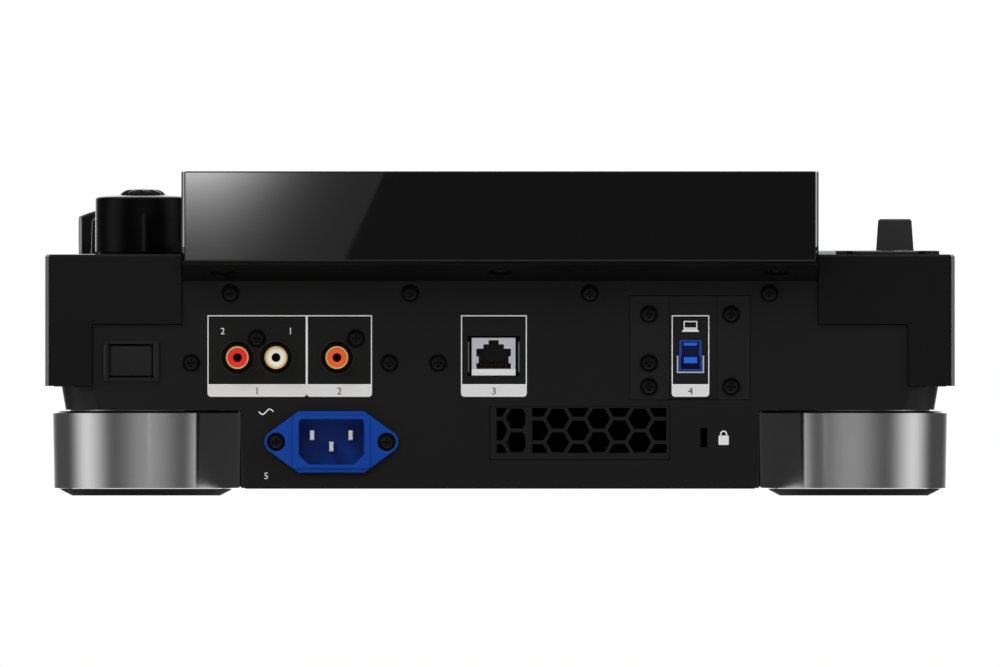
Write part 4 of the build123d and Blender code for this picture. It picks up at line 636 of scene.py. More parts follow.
def dress(node: str, finish: Finish) -> None:
    """Give a node of the frame a finish in each of its material slots.

    Args:
        node: the node's name.
        finish: its finish.
    """
    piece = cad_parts[node]
    if not piece.material_slots:
        piece.data.materials.append(finish.material())
    for place in piece.material_slots:
        place.material = finish.material()
    log.info("%s dressed in %s", node, finish.name)


# ---- casing --------------------------------------------------------------------------------
@dataclass
class Casing:
    """Upper and lower case, deck plate, rear panel, port plate and vent."""

    finishes: dict[str, Finish] = field(default_factory=lambda: {
        "upper_case": CASE_ABS, "lower_case": PAN_ABS_AND_RIM_HIGHLIGHT, "rear_panel": PANEL_COAT,
        "port_plate": PLATE_COAT, "vent_grille": GRILLE_COAT, "deck_plate": DECK_ANODISED,
        "display_housing": HOUSING_ABS, "lcd_panel": SCREEN_PANEL,
        "display_glass": SCREEN_GLASS})

    rib_y: float = -14.0
    rib_thick: float = 4.0
    rib_inner: float = 93.2
    rib_foot: float = 95.2
    rib_outer: float = 155.8
    rib_low: float = 3.2
    rib_step: float = 29.9
    rib_high: float = 31.1
    cover_width: float = 184.4
    cover_height: float = 1.65
    cover_z: float = 3.27
    cover_corner: float = 0.3
    cover_back: float = -0.4
    cover_front: float = 0.06

    def build(self) -> None:
        """Dress the casing's nodes, and add the pan's ribs and the bottom cover's edge, painted
        as shade.
        """
        for node, finish in self.finishes.items():
            dress(node, finish)
        ribs = Surface()
        half = np.array([[self.rib_inner, self.rib_low], [self.rib_foot, self.rib_low],
                         [self.rib_foot, self.rib_step], [self.rib_outer, self.rib_step],
                         [self.rib_outer, self.rib_high], [self.rib_inner, self.rib_high]])
        for side in (-1, 1):
            ribs.plate(rear(0, 0, self.rib_y), half * [side, 1], 0.0, self.rib_thick)
        ribs.make("pan_ribs_moulded", PAN_ABS_AND_RIM_HIGHLIGHT)
        # The bottom cover's edge is near black: painted shade along the tub's lower edge.
        face_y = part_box("lower_case")[1][1] / MM
        outline = rounded(self.cover_width, self.cover_height, self.cover_corner)
        cover = Surface().plate(rear(0, self.cover_z, face_y), outline, self.cover_back,
                                self.cover_front)
        cover.make("bottom_cover_edge_shade", SHADE_BLACK)


@dataclass
class Feet:
    """Four turned metal cups with rubber pads."""

    places: tuple[Pair, ...] = ((-128, -188), (128, -188), (-128, 166), (128, 166))
    radius: float = 34.25
    wall: float = 2.25
    bottom: float = 2.4
    top: float = 30.6
    neck: float = 28.0
    seat: float = 31.0
    bevel: float = 0.8
    draft: float = 0.5
    pad_radius: float = 30.9
    pad_foot: float = 27.0
    pad_seat: float = 4.0

    def cup_profile(self) -> list[Pair]:
        """Profile of a cup: hollow foot, tapering wall, narrow bevel and neck.

        Returns:
            Pairs of radius and height.
        """
        r, b = self.radius, self.bevel
        under = self.bottom + self.pad_seat
        inner = r - self.wall
        low = r - self.draft
        return [(0.2, under), (inner, under), (inner, self.bottom + 0.2),
                (inner + 0.2, self.bottom), (low - 0.3, self.bottom), (low, self.bottom + 0.3),
                (r, self.top - b), (r - b, self.top),
                (self.neck, self.top), (self.neck, self.seat), (0.2, self.seat)]

    def pad_profile(self) -> list[Pair]:
        """Profile of a pad: flat sole, slanted side and a seat inside the cup.

        Returns:
            Pairs of radius and height.
        """
        r, f = self.pad_radius, self.pad_foot
        return [(0.2, 0.0), (f - 0.3, 0.0), (f, 0.15), (r - 0.1, self.bottom - 0.3),
                (r, self.bottom - 0.1), (r, self.bottom + self.pad_seat),
                (0.2, self.bottom + self.pad_seat)]

    def build(self) -> None:
        """Build the cups and the pads."""
        cups, pads = Surface(), Surface()
        for x, y in self.places:
            cups.turn(deck(x, y, 0), self.cup_profile(), 160)
            pads.turn(deck(x, y, 0), self.pad_profile(), 96)
        cups.make("foot_cups_turned", FOOT_METAL, slot="foot_metal", replaces=("foot_cups",))
        pads.make("foot_pads_moulded", FOOT_RUBBER, slot="foot_rubber",
                  replaces=("foot_pads",))


@dataclass
class DisplayBack:
    """The gloss cover on the back of the display."""

    half_width: float = 115.25
    low: float = 84.8
    high: float = 117.3
    face_y: float = 226.5
    depth: float = 4.0
    corner: float = 0.5
    edge_radius: float = 0.4
    slant: float = 1.0
    slant_depth: float = 3.2

    def build(self) -> None:
        """Build the cover: its two ends slant in over their depth, its long edges don't."""
        place = rear(0, (self.low + self.high) / 2, self.face_y - self.depth)
        height = self.high - self.low
        levels = [(0.0, 0.0, 0.0), (self.slant, 0.0, self.slant_depth)]
        levels += [(self.slant + a, a, b) for a, b in
                   edge(self.slant_depth, self.depth, self.edge_radius, 8)[1:]]
        rings = lifted([rounded(2 * (self.half_width - across + inset), height, self.corner,
                                inset) for across, inset, _ in levels],
                       [level for *_, level in levels])
        cover = Surface().stack(place.at(rings))
        cover.make("display_back_polished", ACRYLIC, slot="gloss_black",
                   replaces=("display_back_cover",))


# ---- rear sockets --------------------------------------------------------------------------
@dataclass
class RearPrinting:
    """Printed frames with their label bands, plain figures and pictograms."""

    line: float = 0.38
    band_high: float = 39.9
    band_low: float = 35.7
    frame_high: float = 65.2
    corner: float = 1.3
    panels: tuple[tuple[float, float, str], ...] = ((105.8, 69.9, "1"), (69.9, 46.3, "2"),
                                                    (14.1, -9.7, "3"), (-62.1, -75.7, "4"))
    figures: tuple[tuple[float, float, str], ...] = ((100.3, 59.5, "2"), (75.8, 59.5, "1"),
                                                     (84.6, 7.1, "5"))
    figure: float = 2.3
    band_figure: float = 2.5
    wave_place: Pair = (84.6, 30.3)
    screen_place: Pair = (-68.9, 61.1)
    padlock_place: Pair = (-80.9, 21.0)
    wave_half: Pair = (2.6, 0.95)
    wave_line: float = 0.22
    monitor: Pair = (5.0, 2.8)
    monitor_line: float = 0.42
    lock_body: Triple = (3.7, 3.4, 0.3)
    lock_bow: Pair = (1.3, 0.8)
    ink: float = 0.04
    ink_foot: float = 0.01
    ink_step: float = 0.004

    def band(self, width: float) -> Array:
        """Outline of a label band: a rectangle whose two lower corners are quarter circles.

        Args:
            width: the band's width.

        Returns:
            The outline's points about the band's middle.
        """
        right, high, r = width / 2, (self.band_high - self.band_low) / 2, self.corner
        arc = np.linspace(-np.pi / 2, 0, 6)
        corner = np.stack([right - r + r * np.cos(arc), -high + r + r * np.sin(arc)], -1)
        return np.concatenate([corner, [[right, high], [-right, high]],
                               corner[::-1] * [-1, 1]])

    def build(self) -> None:
        """Build the frames and bands, then the figures and signs."""
        white, grey, black = Surface(), Surface(), Surface()
        for number, (left, right, figure) in enumerate(self.panels):
            width = left - right
            middle = (left + right) / 2
            height = self.frame_high - self.band_high
            place = rear(middle, self.band_high + height / 2)
            # Neighbouring frames touch, so each lies a little lower than the one before.
            white.frame(place, rounded(width, height, MIN_CORNER, 0, 1),
                        rounded(width, height, MIN_CORNER, self.line, 1), self.ink_foot,
                        self.ink - self.ink_step * number)
            band = rear(middle, (self.band_high + self.band_low) / 2)
            grey.plate(band, self.band(width), self.ink_foot, self.ink + 0.005)
            black.words(band, figure, self.band_figure, self.ink)
        for x, z, figure in self.figures:
            white.words(rear(x, z), figure, self.figure)
        self.wave(white, rear(*self.wave_place))
        self.screen(white, rear(*self.screen_place))
        self.padlock(white, rear(*self.padlock_place))
        white.make("rear_frames_printed", WHITE_INK)
        grey.make("rear_bands_printed", GREY_INK)
        black.make("rear_figures_printed", BLACK_INK)

    def wave(self, ink: Surface, place: Place) -> None:
        """Alternating-current sign: a band of even width along one sine period.

        Args:
            ink: the surface that gets the sign.
            place: its middle.
        """
        t = np.linspace(-1, 1, 25)
        path = np.stack([t, np.sin(np.pi * t)], -1) * self.wave_half
        side = sideways(path, self.wave_line)
        ink.plate(place, np.concatenate([path + side, (path - side)[::-1]]), 0.0, self.ink)

    def screen(self, ink: Surface, place: Place) -> None:
        """Pictogram of a portable computer: a framed screen on a wide foot.

        Args:
            ink: the surface that gets the sign.
            place: its middle.
        """
        ink.frame(place.moved(0, 0.65), rounded(*self.monitor, 0.1, 0, 1),
                  rounded(*self.monitor, 0.1, self.monitor_line, 1), 0.0, self.ink)
        foot = np.array([[-3.2, -1.9], [3.2, -1.9], [2.4, -0.85], [-2.4, -0.85]])
        ink.plate(place, foot, 0.0, self.ink)

    def padlock(self, ink: Surface, place: Place) -> None:
        """Pictogram of a closed padlock: a plain body and a bow over it.

        Args:
            ink: the surface that gets the sign.
            place: its middle.
        """
        ink.plate(place.moved(0, -1.0), rounded(*self.lock_body), 0.0, self.ink)
        t = np.linspace(0, np.pi, 17)
        bow = np.stack([np.cos(t), np.sin(t)], -1)
        (wide, narrow), foot, spring = self.lock_bow, 0.6, 1.2
        outer, inner = bow * wide + [0, spring], bow * narrow + [0, spring]
        outline = np.concatenate([[[wide, foot]], outer, [[-wide, foot], [-narrow, foot]],
                                  inner[::-1], [[narrow, foot]]])
        ink.plate(place, outline, 0.0, self.ink)


@dataclass
class Screws:
    """Black cross-head screws on the rear, and three under the display."""

    head: float = 2.4
    washer: float = 3.25
    rise: float = 2.0
    dome: float = 0.3
    rim: float = 0.7
    side_fade: float = 0.16
    end_fade: float = 0.3
    cross: float = 1.5
    arm: float = 0.4
    deep: float = 1.15
    wander: float = 0.09
    chin_x: Triple = (-100.0, 0.0, 100.0)
    chin_y: float = 212.6
    chin_z: float = 81.35
    chin_lean: Pair = (0.2952, 0.9554)
    chin_sunk: float = 0.7
    chin_share: float = 0.35

    def places(self) -> list[tuple[float, float, float]]:
        """List the screws that look straight to the rear.

        Returns:
            X, Z and the Y of its seat for each screw.
        """
        top = [(x, 73.1) for x in (-97.5, -32.5, 32.5, 97.5)]
        low = [(x, 47.9) for x in (111.7, 40.0, 22.4)]
        jacks = [(88.0, 56.8), (52.1, 56.8)]
        plate = [(-53.9, 65.5), (-83.6, 65.5), (-53.9, 47.9), (-53.9, 39.3), (-83.6, 39.3)]
        inlet = [(41.0, 19.4, 204.4), (81.0, 19.4, 204.4)]
        return [(x, z, PANEL_Y) for x, z in top + low + jacks + plate] + inlet

    def head_rings(self, count: int = 96) -> Array:
        """Rings of one head as a height field over radius and angle.

        The crown is a shallow dome, rise - dome (r / head)^2, that falls off in a quarter
        round at the rim.  The recess is the deeper of two crossed slots.  Its depth fades at
        the side walls and at the ends, and shrinks outwards by 0.35 r / cross.

        Args:
            count: points round the head.

        Returns:
            Rings of (a, b, c) measures about the head's middle.
        """
        radius = np.concatenate([np.linspace(0.05, 1.7, 16), np.linspace(1.8, self.head, 9)])
        angle = np.arange(count) * 2 * np.pi / count
        r, t = np.meshgrid(radius, angle, indexing="ij")
        a, b = r * np.cos(t), r * np.sin(t)
        height = self.rise - self.dome * (r / self.head) ** 2
        rim = np.clip((r - self.head + self.rim) / self.rim, 0, 1)
        height -= self.rim * (1 - np.sqrt(1 - rim ** 2))
        slots = [np.clip((self.arm - abs(p)) / self.side_fade, 0, 1)
                 * np.clip((self.cross - abs(q)) / self.end_fade, 0, 1)
                 for p, q in ((a, b), (b, a))]
        height -= self.deep * np.maximum(*slots) * (1 - 0.35 * r / self.cross)
        return np.stack([a, b, height], -1)

    def build(self) -> None:
        """Build all the heads as one piece, and under those on the rear near-black rings,
        painted shade of the pressed dimples.
        """
        heads = Surface()
        rings = self.head_rings()
        # The head's wall runs down to its seat and closes there towards the axis.
        foot = rings[-1:] * [1, 1, 0]
        inside = foot * [0.02, 0.02, 1]
        body = np.concatenate([rings, foot, inside])
        shade_rings = Surface()
        bore, wide = self.head - 0.1, self.washer
        profile = [(bore, 0.01), (wide, 0.01), (wide, 0.5), (wide - 0.3, 0.8), (bore, 0.8)]
        for number, (x, z, y) in enumerate(self.places()):
            # No two crosses stand alike: each is turned a little, by a sine of its number.
            turn = self.wander * math.sin(2.3 * number)
            spun = body.copy()
            spun[..., 0] = body[..., 0] * math.cos(turn) - body[..., 1] * math.sin(turn)
            spun[..., 1] = body[..., 0] * math.sin(turn) + body[..., 1] * math.cos(turn)
            heads.stack(rear(x, z, y).at(spun))
            shade_rings.turn(rear(x, z, y), profile, 72, loop=True)
        for x in self.chin_x:
            heads.stack(self.chin(x).at(body * [1, 1, self.chin_share]))
        heads.make("case_screws_detailed", SCREW_OXIDE, slot="screw_black",
                   replaces=("case_screws",))
        shade_rings.make("screw_rings_painted_shade", SHADE_BLACK)

    def chin(self, x: float) -> Place:
        """The slanted place of a screw under the display, its head sunk in a recess.

        Args:
            x: where the screw sits across the player.

        Returns:
            The place, which looks down and a little to the rear.
        """
        sine, cosine = self.chin_lean
        seat = (x, self.chin_y - self.chin_sunk * sine, self.chin_z + self.chin_sunk * cosine)
        return Place(seat, (-1, 0, 0), (0, cosine, sine), (0, sine, -cosine))


@dataclass
class PhonoJacks:
    """Three phono jacks: black collar, gold sleeve and a coloured insert."""

    places: tuple[tuple[float, str, Finish], ...] = (
        (95.0, "red", JACK_RED), (81.0, "white", JACK_WHITE), (59.0, "orange", JACK_ORANGE))
    height: float = 49.9
    sleeve: float = 4.15
    bore: float = 3.5
    pin: float = 1.6
    front: float = 211.2
    back: float = 202.0
    collar: float = 6.45

    def build(self) -> None:
        """Build the sleeves, the inserts and the collars' outer rings, painted paler as
        highlights.
        """
        sleeves, rings = Surface(), Surface()
        long = self.front - self.back
        face = long - 0.7
        s, b, p, c = self.sleeve, self.bore, self.pin, self.collar
        sleeve = [(s, 0), (s, long - 0.45), (s - 0.12, long - 0.15), (s - 0.35, long),
                  (b + 0.12, long), (b, long - 0.2), (b, 0)]
        insert = [(b, 1.2), (b, face), (b - 0.25, face + 0.1), (p + 0.5, face),
                  (p, face - 0.35), (p, 1.2)]
        rim = [(c, 0.01), (c - 0.1, 0.22), (c - 0.6, 0.24), (c - 0.75, 0.01)]
        for x, colour, finish in self.places:
            foot = rear(x, self.height, self.back)
            sleeves.turn(foot, sleeve, 72, loop=True)
            moulded = Surface().turn(foot, insert, 72, loop=True)
            moulded.make(f"jack_insert_{colour}_moulded", finish, slot=f"jack_{colour}",
                         replaces=(f"jack_insert_{colour}",))
            rings.turn(rear(x, self.height), rim, 72, loop=True)
        sleeves.make("jack_sleeves_plated", JACK_GOLD, slot="jack_gold",
                     replaces=("jack_sleeves",))
        # The collars' rims are painted paler than the collars, as highlights.
        rings.make("jack_collar_rim_highlights", PAN_ABS_AND_RIM_HIGHLIGHT, slot="jack_black")
        dress("jack_collars", JACK_NYLON)


@dataclass
class NetworkJack:
    """Network socket: a tinned shield with a stepped mouth, springs and eight contacts."""

    x: float = 2.3
    low: float = 43.2
    high: float = 57.1
    half: float = 8.0
    face_y: float = 202.6
    depth: float = 17.6
    mouth: tuple[Pair, ...] = ((6.25, 2.6), (6.25, 9.9), (3.7, 9.9), (3.7, 11.5),
                               (1.8, 11.5), (1.8, 13.0))
    contacts: int = 8
    pitch: float = 1.27
    spring: Triple = (1.1, 2.6, 0.3)
    spring_place: Triple = (5.95, 5.9, -1.4)
    recess_side: Triple = (0.6, 11.1, 0.2)
    recess_side_place: Triple = (9.15, 6.9, -1.2)
    recess_foot: Triple = (17.0, 0.4, 0.15)
    recess_foot_place: Triple = (0.0, -0.62, -0.6)
    lip: Triple = (15.9, 2.3, 0.2)
    lip_place: Triple = (0.0, 1.4, -0.1)
    carrier: Triple = (12.6, 10.6, 0.1)
    carrier_up: float = 7.7
    ledge: Triple = (12.4, 0.5, 0.1)
    ledge_place: Triple = (0.0, 2.85, -13.0)
    wire: float = 0.24
    wire_path: tuple[Pair, ...] = ((-13.0, 3.4), (-2.6, 3.4), (-1.9, 3.55), (-1.7, 3.9),
                                   (-2.2, 4.2), (-9.0, 5.1), (-13.0, 5.3))

    def mouth_outline(self) -> Array:
        """The mouth's corners round it, as (right, up) about the shield's foot."""
        half = np.array(self.mouth)
        return np.concatenate([half, half[::-1] * [-1, 1]])

    def build(self) -> None:
        """Build the shield, its springs, the contacts and the recess round the socket; the lip
        and the recess's walls are painted paler as highlights.
        """
        place = rear(self.x, self.low, self.face_y)
        inner = self.mouth_outline()
        tall = self.high - self.low
        # The outer outline has the same count, so the two rings join point by point.
        outer = np.array([[1, 0], [1, 0.7], [1, 0.8], [1, 1], [0.6, 1], [0.3, 1],
                          [-0.3, 1], [-0.6, 1], [-1, 1], [-1, 0.8], [-1, 0.7], [-1, 0]])
        outer = outer * [self.half, tall]
        drawn_in = outer + (np.array([0, tall / 2]) - outer) * 0.02
        rings = lifted([outer, outer, drawn_in, inner, inner, inner],
                       [-self.depth, -0.25, 0.0, 0.0, -0.3, -self.depth + 4])
        shield = Surface().stack(place.at(rings), loop=True)
        rim = Surface()
        for side in (-1, 1):
            across, *rest = self.spring_place
            shield.block(place.moved(side * across, *rest), self.spring, edge(0, 1.0, 0.25))
            across, *rest = self.recess_side_place
            rim.block(place.moved(side * across, *rest), self.recess_side, edge(0, 1.15, 0.2))
        rim.block(place.moved(*self.recess_foot_place), self.recess_foot, edge(0, 0.9, 0.15))
        # The recess's walls are painted pale grey as highlights.
        rim.make("network_recess_rim", RECESS_HIGHLIGHT)
        # The folded lip takes a paler tin, a painted highlight.
        lip = Surface().block(place.moved(*self.lip_place), self.lip, edge(0, 0.25, 0.1))
        lip.make("network_shield_lip", LIP_TIN_HIGHLIGHT, slot="jack_steel")
        shield.make("network_shield_folded", SHIELD_TIN, slot="jack_steel",
                    replaces=("link_jack_shell",))
        core = Surface()
        core.plate(place, rounded(*self.carrier) + [0, self.carrier_up], -self.depth + 3.6,
                   -self.depth + 4.1)
        core.block(place.moved(*self.ledge_place), self.ledge, edge(0, 12.4, 0.1))
        core.make("network_contact_carrier", JACK_CORE, slot="jack_black")
        self.springs(place).make("network_contacts_bent", CONTACT_GOLD, slot="contact_gold",
                                 replaces=("link_jack_contacts",))

    def springs(self, place: Place) -> Surface:
        """Eight bent contact wires.

        Each is a flat strip carried along a path of (depth, height): it runs out along the
        floor to the mouth, turns back in a bow and rises inwards in a slant.

        Args:
            place: the middle of the shield's foot.

        Returns:
            The contacts' surface.
        """
        wires = Surface()
        path = np.array(self.wire_path)
        side = sideways(path, self.wire / 2)
        above, below = path + side, path - side
        for number in range(self.contacts):
            middle = (number - (self.contacts - 1) / 2) * self.pitch
            left, right = middle - self.wire, middle + self.wire
            corners = ((left, above), (right, above), (right, below), (left, below))
            rings = np.stack([np.column_stack([np.full(len(line), across), line[:, 1],
                                               line[:, 0]]) for across, line in corners], 1)
            wires.stack(place.at(rings))
        return wires


@dataclass
class UsbSocket:
    """USB-B socket: a bright U-shaped bracket round the lower half of a blue insert."""

    x: float = -68.9
    low: float = 44.3
    step: float = 50.6
    high: float = 56.4
    wide: float = 4.95
    narrow: float = 4.2
    wall: float = 0.5
    tongue_width: float = 5.0
    # Middle height, thickness and corner radius of each tongue.
    tongues: tuple[Triple, ...] = ((4.65, 2.3, 0.3), (10.45, 1.15, 0.25))
    tongue_short: float = 1.0
    face_y: float = 202.2
    depth: float = 12.8

    def build(self) -> None:
        """Build the bracket, the insert's body and its two tongues."""
        place = rear(self.x, self.low, self.face_y)
        w, n, g = self.wide, self.narrow, self.wall
        s, h = self.step - self.low, self.high - self.low
        outer = np.array([[w, 0], [w, s], [w - g, s], [w - g, g], [-w + g, g], [-w + g, s],
                          [-w, s], [-w, 0]])
        bracket = Surface().plate(place, outer, -self.depth, 0.0)
        bracket.make("usb_b_bracket", SHIELD_TIN, slot="jack_steel",
                     replaces=("usb_b_shell",))
        shell = np.array([[w - g, g], [w - g, s - 0.2], [n, s + 0.7], [n, h], [-n, h],
                          [-n, s + 0.7], [-w + g, s - 0.2], [-w + g, g]])
        room = np.array([[3.5, 1.4], [3.5, s - 0.8], [3.1, s + 0.7], [3.1, h - 0.9],
                         [-3.1, h - 0.9], [-3.1, s + 0.7], [-3.5, s - 0.8], [-3.5, 1.4]])
        rings = lifted([shell, shell, room, room],
                       [-self.depth + 1.2, -0.6, -0.75, -self.depth + 3.0])
        body = Surface().stack(place.at(rings), loop=True)
        body.plate(place, room * [0.99, 1], -self.depth + 2.4, -self.depth + 3.2)
        # The body's darker blue is painted shade.
        body.make("usb_b_insert_body", USB_SHADED_BLUE, slot="usb_blue", replaces=("usb_b_insert",))
        tongues = Surface()
        foot = -self.depth + 2.6
        for middle, thick, radius in self.tongues:
            tongues.block(place.moved(0, middle, foot), (self.tongue_width, thick, radius),
                          edge(0, -foot - self.tongue_short, radius))
        tongues.make("usb_b_tongues", USB_BLUE, slot="usb_blue")


@dataclass
class MainsInlet:
    """Blue mains inlet with three flat pins."""

    def build(self) -> None:
        """Dress the inlet and its pins."""
        dress("mains_inlet", INLET_NYLON)
        dress("mains_inlet_pins", PIN_NICKEL)


@dataclass
class PowerSwitch:
    """Power button with a softly pillowed face inside its ribbed frame."""

    x: float = 133.4
    z: float = 48.75
    width: float = 15.1
    height: float = 10.7
    corner: float = 0.7
    recess: float = 1.8
    edge_radius: float = 0.45
    pillow: float = 0.12
    pillow_insets: Pair = (1.4, 3.0)
    stem: float = 2.9
    rib_height: float = 11.4
    ribs: tuple[Pair, ...] = ((143.15, 0.3), (142.05, 0.22), (141.2, 0.22), (126.7, 0.22),
                              (125.25, 0.3), (123.8, 0.22))

    def build(self) -> None:
        """Build the button's cap, dress its frame and lay thin ribs on the frame, painted paler
        as highlights.
        """
        box_low, box_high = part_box("power_button")
        front = box_high[1] / MM
        back = PANEL_Y - self.recess
        deep = front - back
        levels = edge(0, deep - self.pillow, self.edge_radius, 5)[:-1]
        levels += [(inset, deep) for inset in self.pillow_insets]
        cap = Surface().block(rear(self.x, self.z, back),
                              (self.width, self.height, self.corner), levels)
        foot = box_low[1] / MM
        cap.turn(rear(self.x, self.z, foot), [(self.stem, 0), (self.stem, back - foot)], 32)
        cap.make("power_button_cap", SWITCH_ABS, "power_button", "key_black",
                 ("power_button",))
        dress("power_button_frame", SWITCH_ABS)
        face_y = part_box("power_button_frame")[1][1] / MM
        # The ribs' pale grey is a painted highlight.
        ribs = Surface()
        for x, wide in self.ribs:
            ribs.block(rear(x, self.z, face_y), (wide, self.rib_height, 0.1),
                       edge(-0.1, 0.08, 0.04))
        ribs.make("power_frame_ribs", RIB_HIGHLIGHT)


# ---- deck controls -------------------------------------------------------------------------
@dataclass
class JogWheel:
    """Jog wheel: scalloped rim, spun metal plate, and the round display in its middle."""

    x: float = 0.0
    y: float = -92.0
    radius: float = 103.0
    top: float = 101.2
    low: float = 88.2
    plate_radius: float = 92.0
    web_low: float = 92.2
    web_high: float = 99.1
    skirt: float = 88.5
    skirt_low: float = 78.4
    bore: float = 20.1
    hub: float = 23.1
    hub_low: float = 85.2
    eye: float = 36.0
    scallops: int = 48
    scallop_depth: float = 1.1
    scallop_side: float = 0.6
    scallop_stop: float = 1.6
    rings: tuple[Pair, ...] = ((33.4, 32.9), (27.0, 26.7))

    def swell(self, angle: Array, radius: float, height: float) -> Array:
        """Scallops: the radius shrinks by depth * |cos(n a / 2)|^3 low on the rim's side.

        Args:
            angle: the angles round the wheel.
            radius: the profile's radius.
            height: the profile's height.

        Returns:
            What is added to the radius at each angle.
        """
        side = radius > self.radius - self.scallop_side
        depth = self.scallop_depth if side and height < self.top - self.scallop_stop else 0.0
        return -depth * abs(np.cos(self.scallops * angle / 2)) ** 3

    def build(self) -> None:
        """Build the rim, the top plate and the display's two printed rings."""
        t, r, low, p, e = self.top, self.radius, self.low, self.plate_radius, self.eye
        place = deck(self.x, self.y, 0)
        rim = [(self.bore, self.hub_low), (self.hub, self.hub_low), (self.hub, low),
               (self.skirt, low), (self.skirt, self.skirt_low), (p, self.skirt_low),
               (p, low), (r - 1.2, low), (r - 0.3, low + 0.4), (r, low + 1.2),
               (r, low + 3.0), (r, t - 3.4), (r, t - 2.4), (r, t - 1.5), (r - 0.4, t - 0.8),
               (r - 1.2, t - 0.35), (r - 2.6, t - 0.05), (r - 4.4, t), (p + 1.2, t),
               (p + 0.3, t - 0.25), (p, t - 0.8), (p, self.web_high), (p - 2, self.web_high),
               (p - 2, self.web_low), (self.bore, self.web_low)]
        body = Surface().turn(place, rim, 960, self.swell, loop=True)
        body.make("jog_rim_scalloped", JOG_ABS, "jog_wheel", "jog_plastic", ("jog_platter",))
        plate = [(e, self.web_low), (e + 2, self.web_low), (e + 2, self.web_high),
                 (p - 0.2, self.web_high), (p - 0.2, t - 0.5), (p - 0.5, t - 0.25),
                 (p - 32, t - 0.22), (e + 3.2, t - 0.2), (e + 1.6, t - 0.5),
                 (e + 0.3, t - 1.5), (e, t - 2.0)]
        disc = Surface().turn(place, plate, 256, loop=True)
        disc.make("jog_plate_spun", JOG_SPUN, "jog_wheel", "jog_metal", ("jog_top_plate",))
        dress("jog_display", SCREEN_GLASS)
        mark = Surface()
        face = deck(self.x, self.y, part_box("jog_display")[1][2] / MM)
        for outer, inner in self.rings:
            mark.frame(face, circle(outer, 128), circle(inner, 128), 0.0, 0.03)
        mark.make("jog_display_rings", GREY_INK)


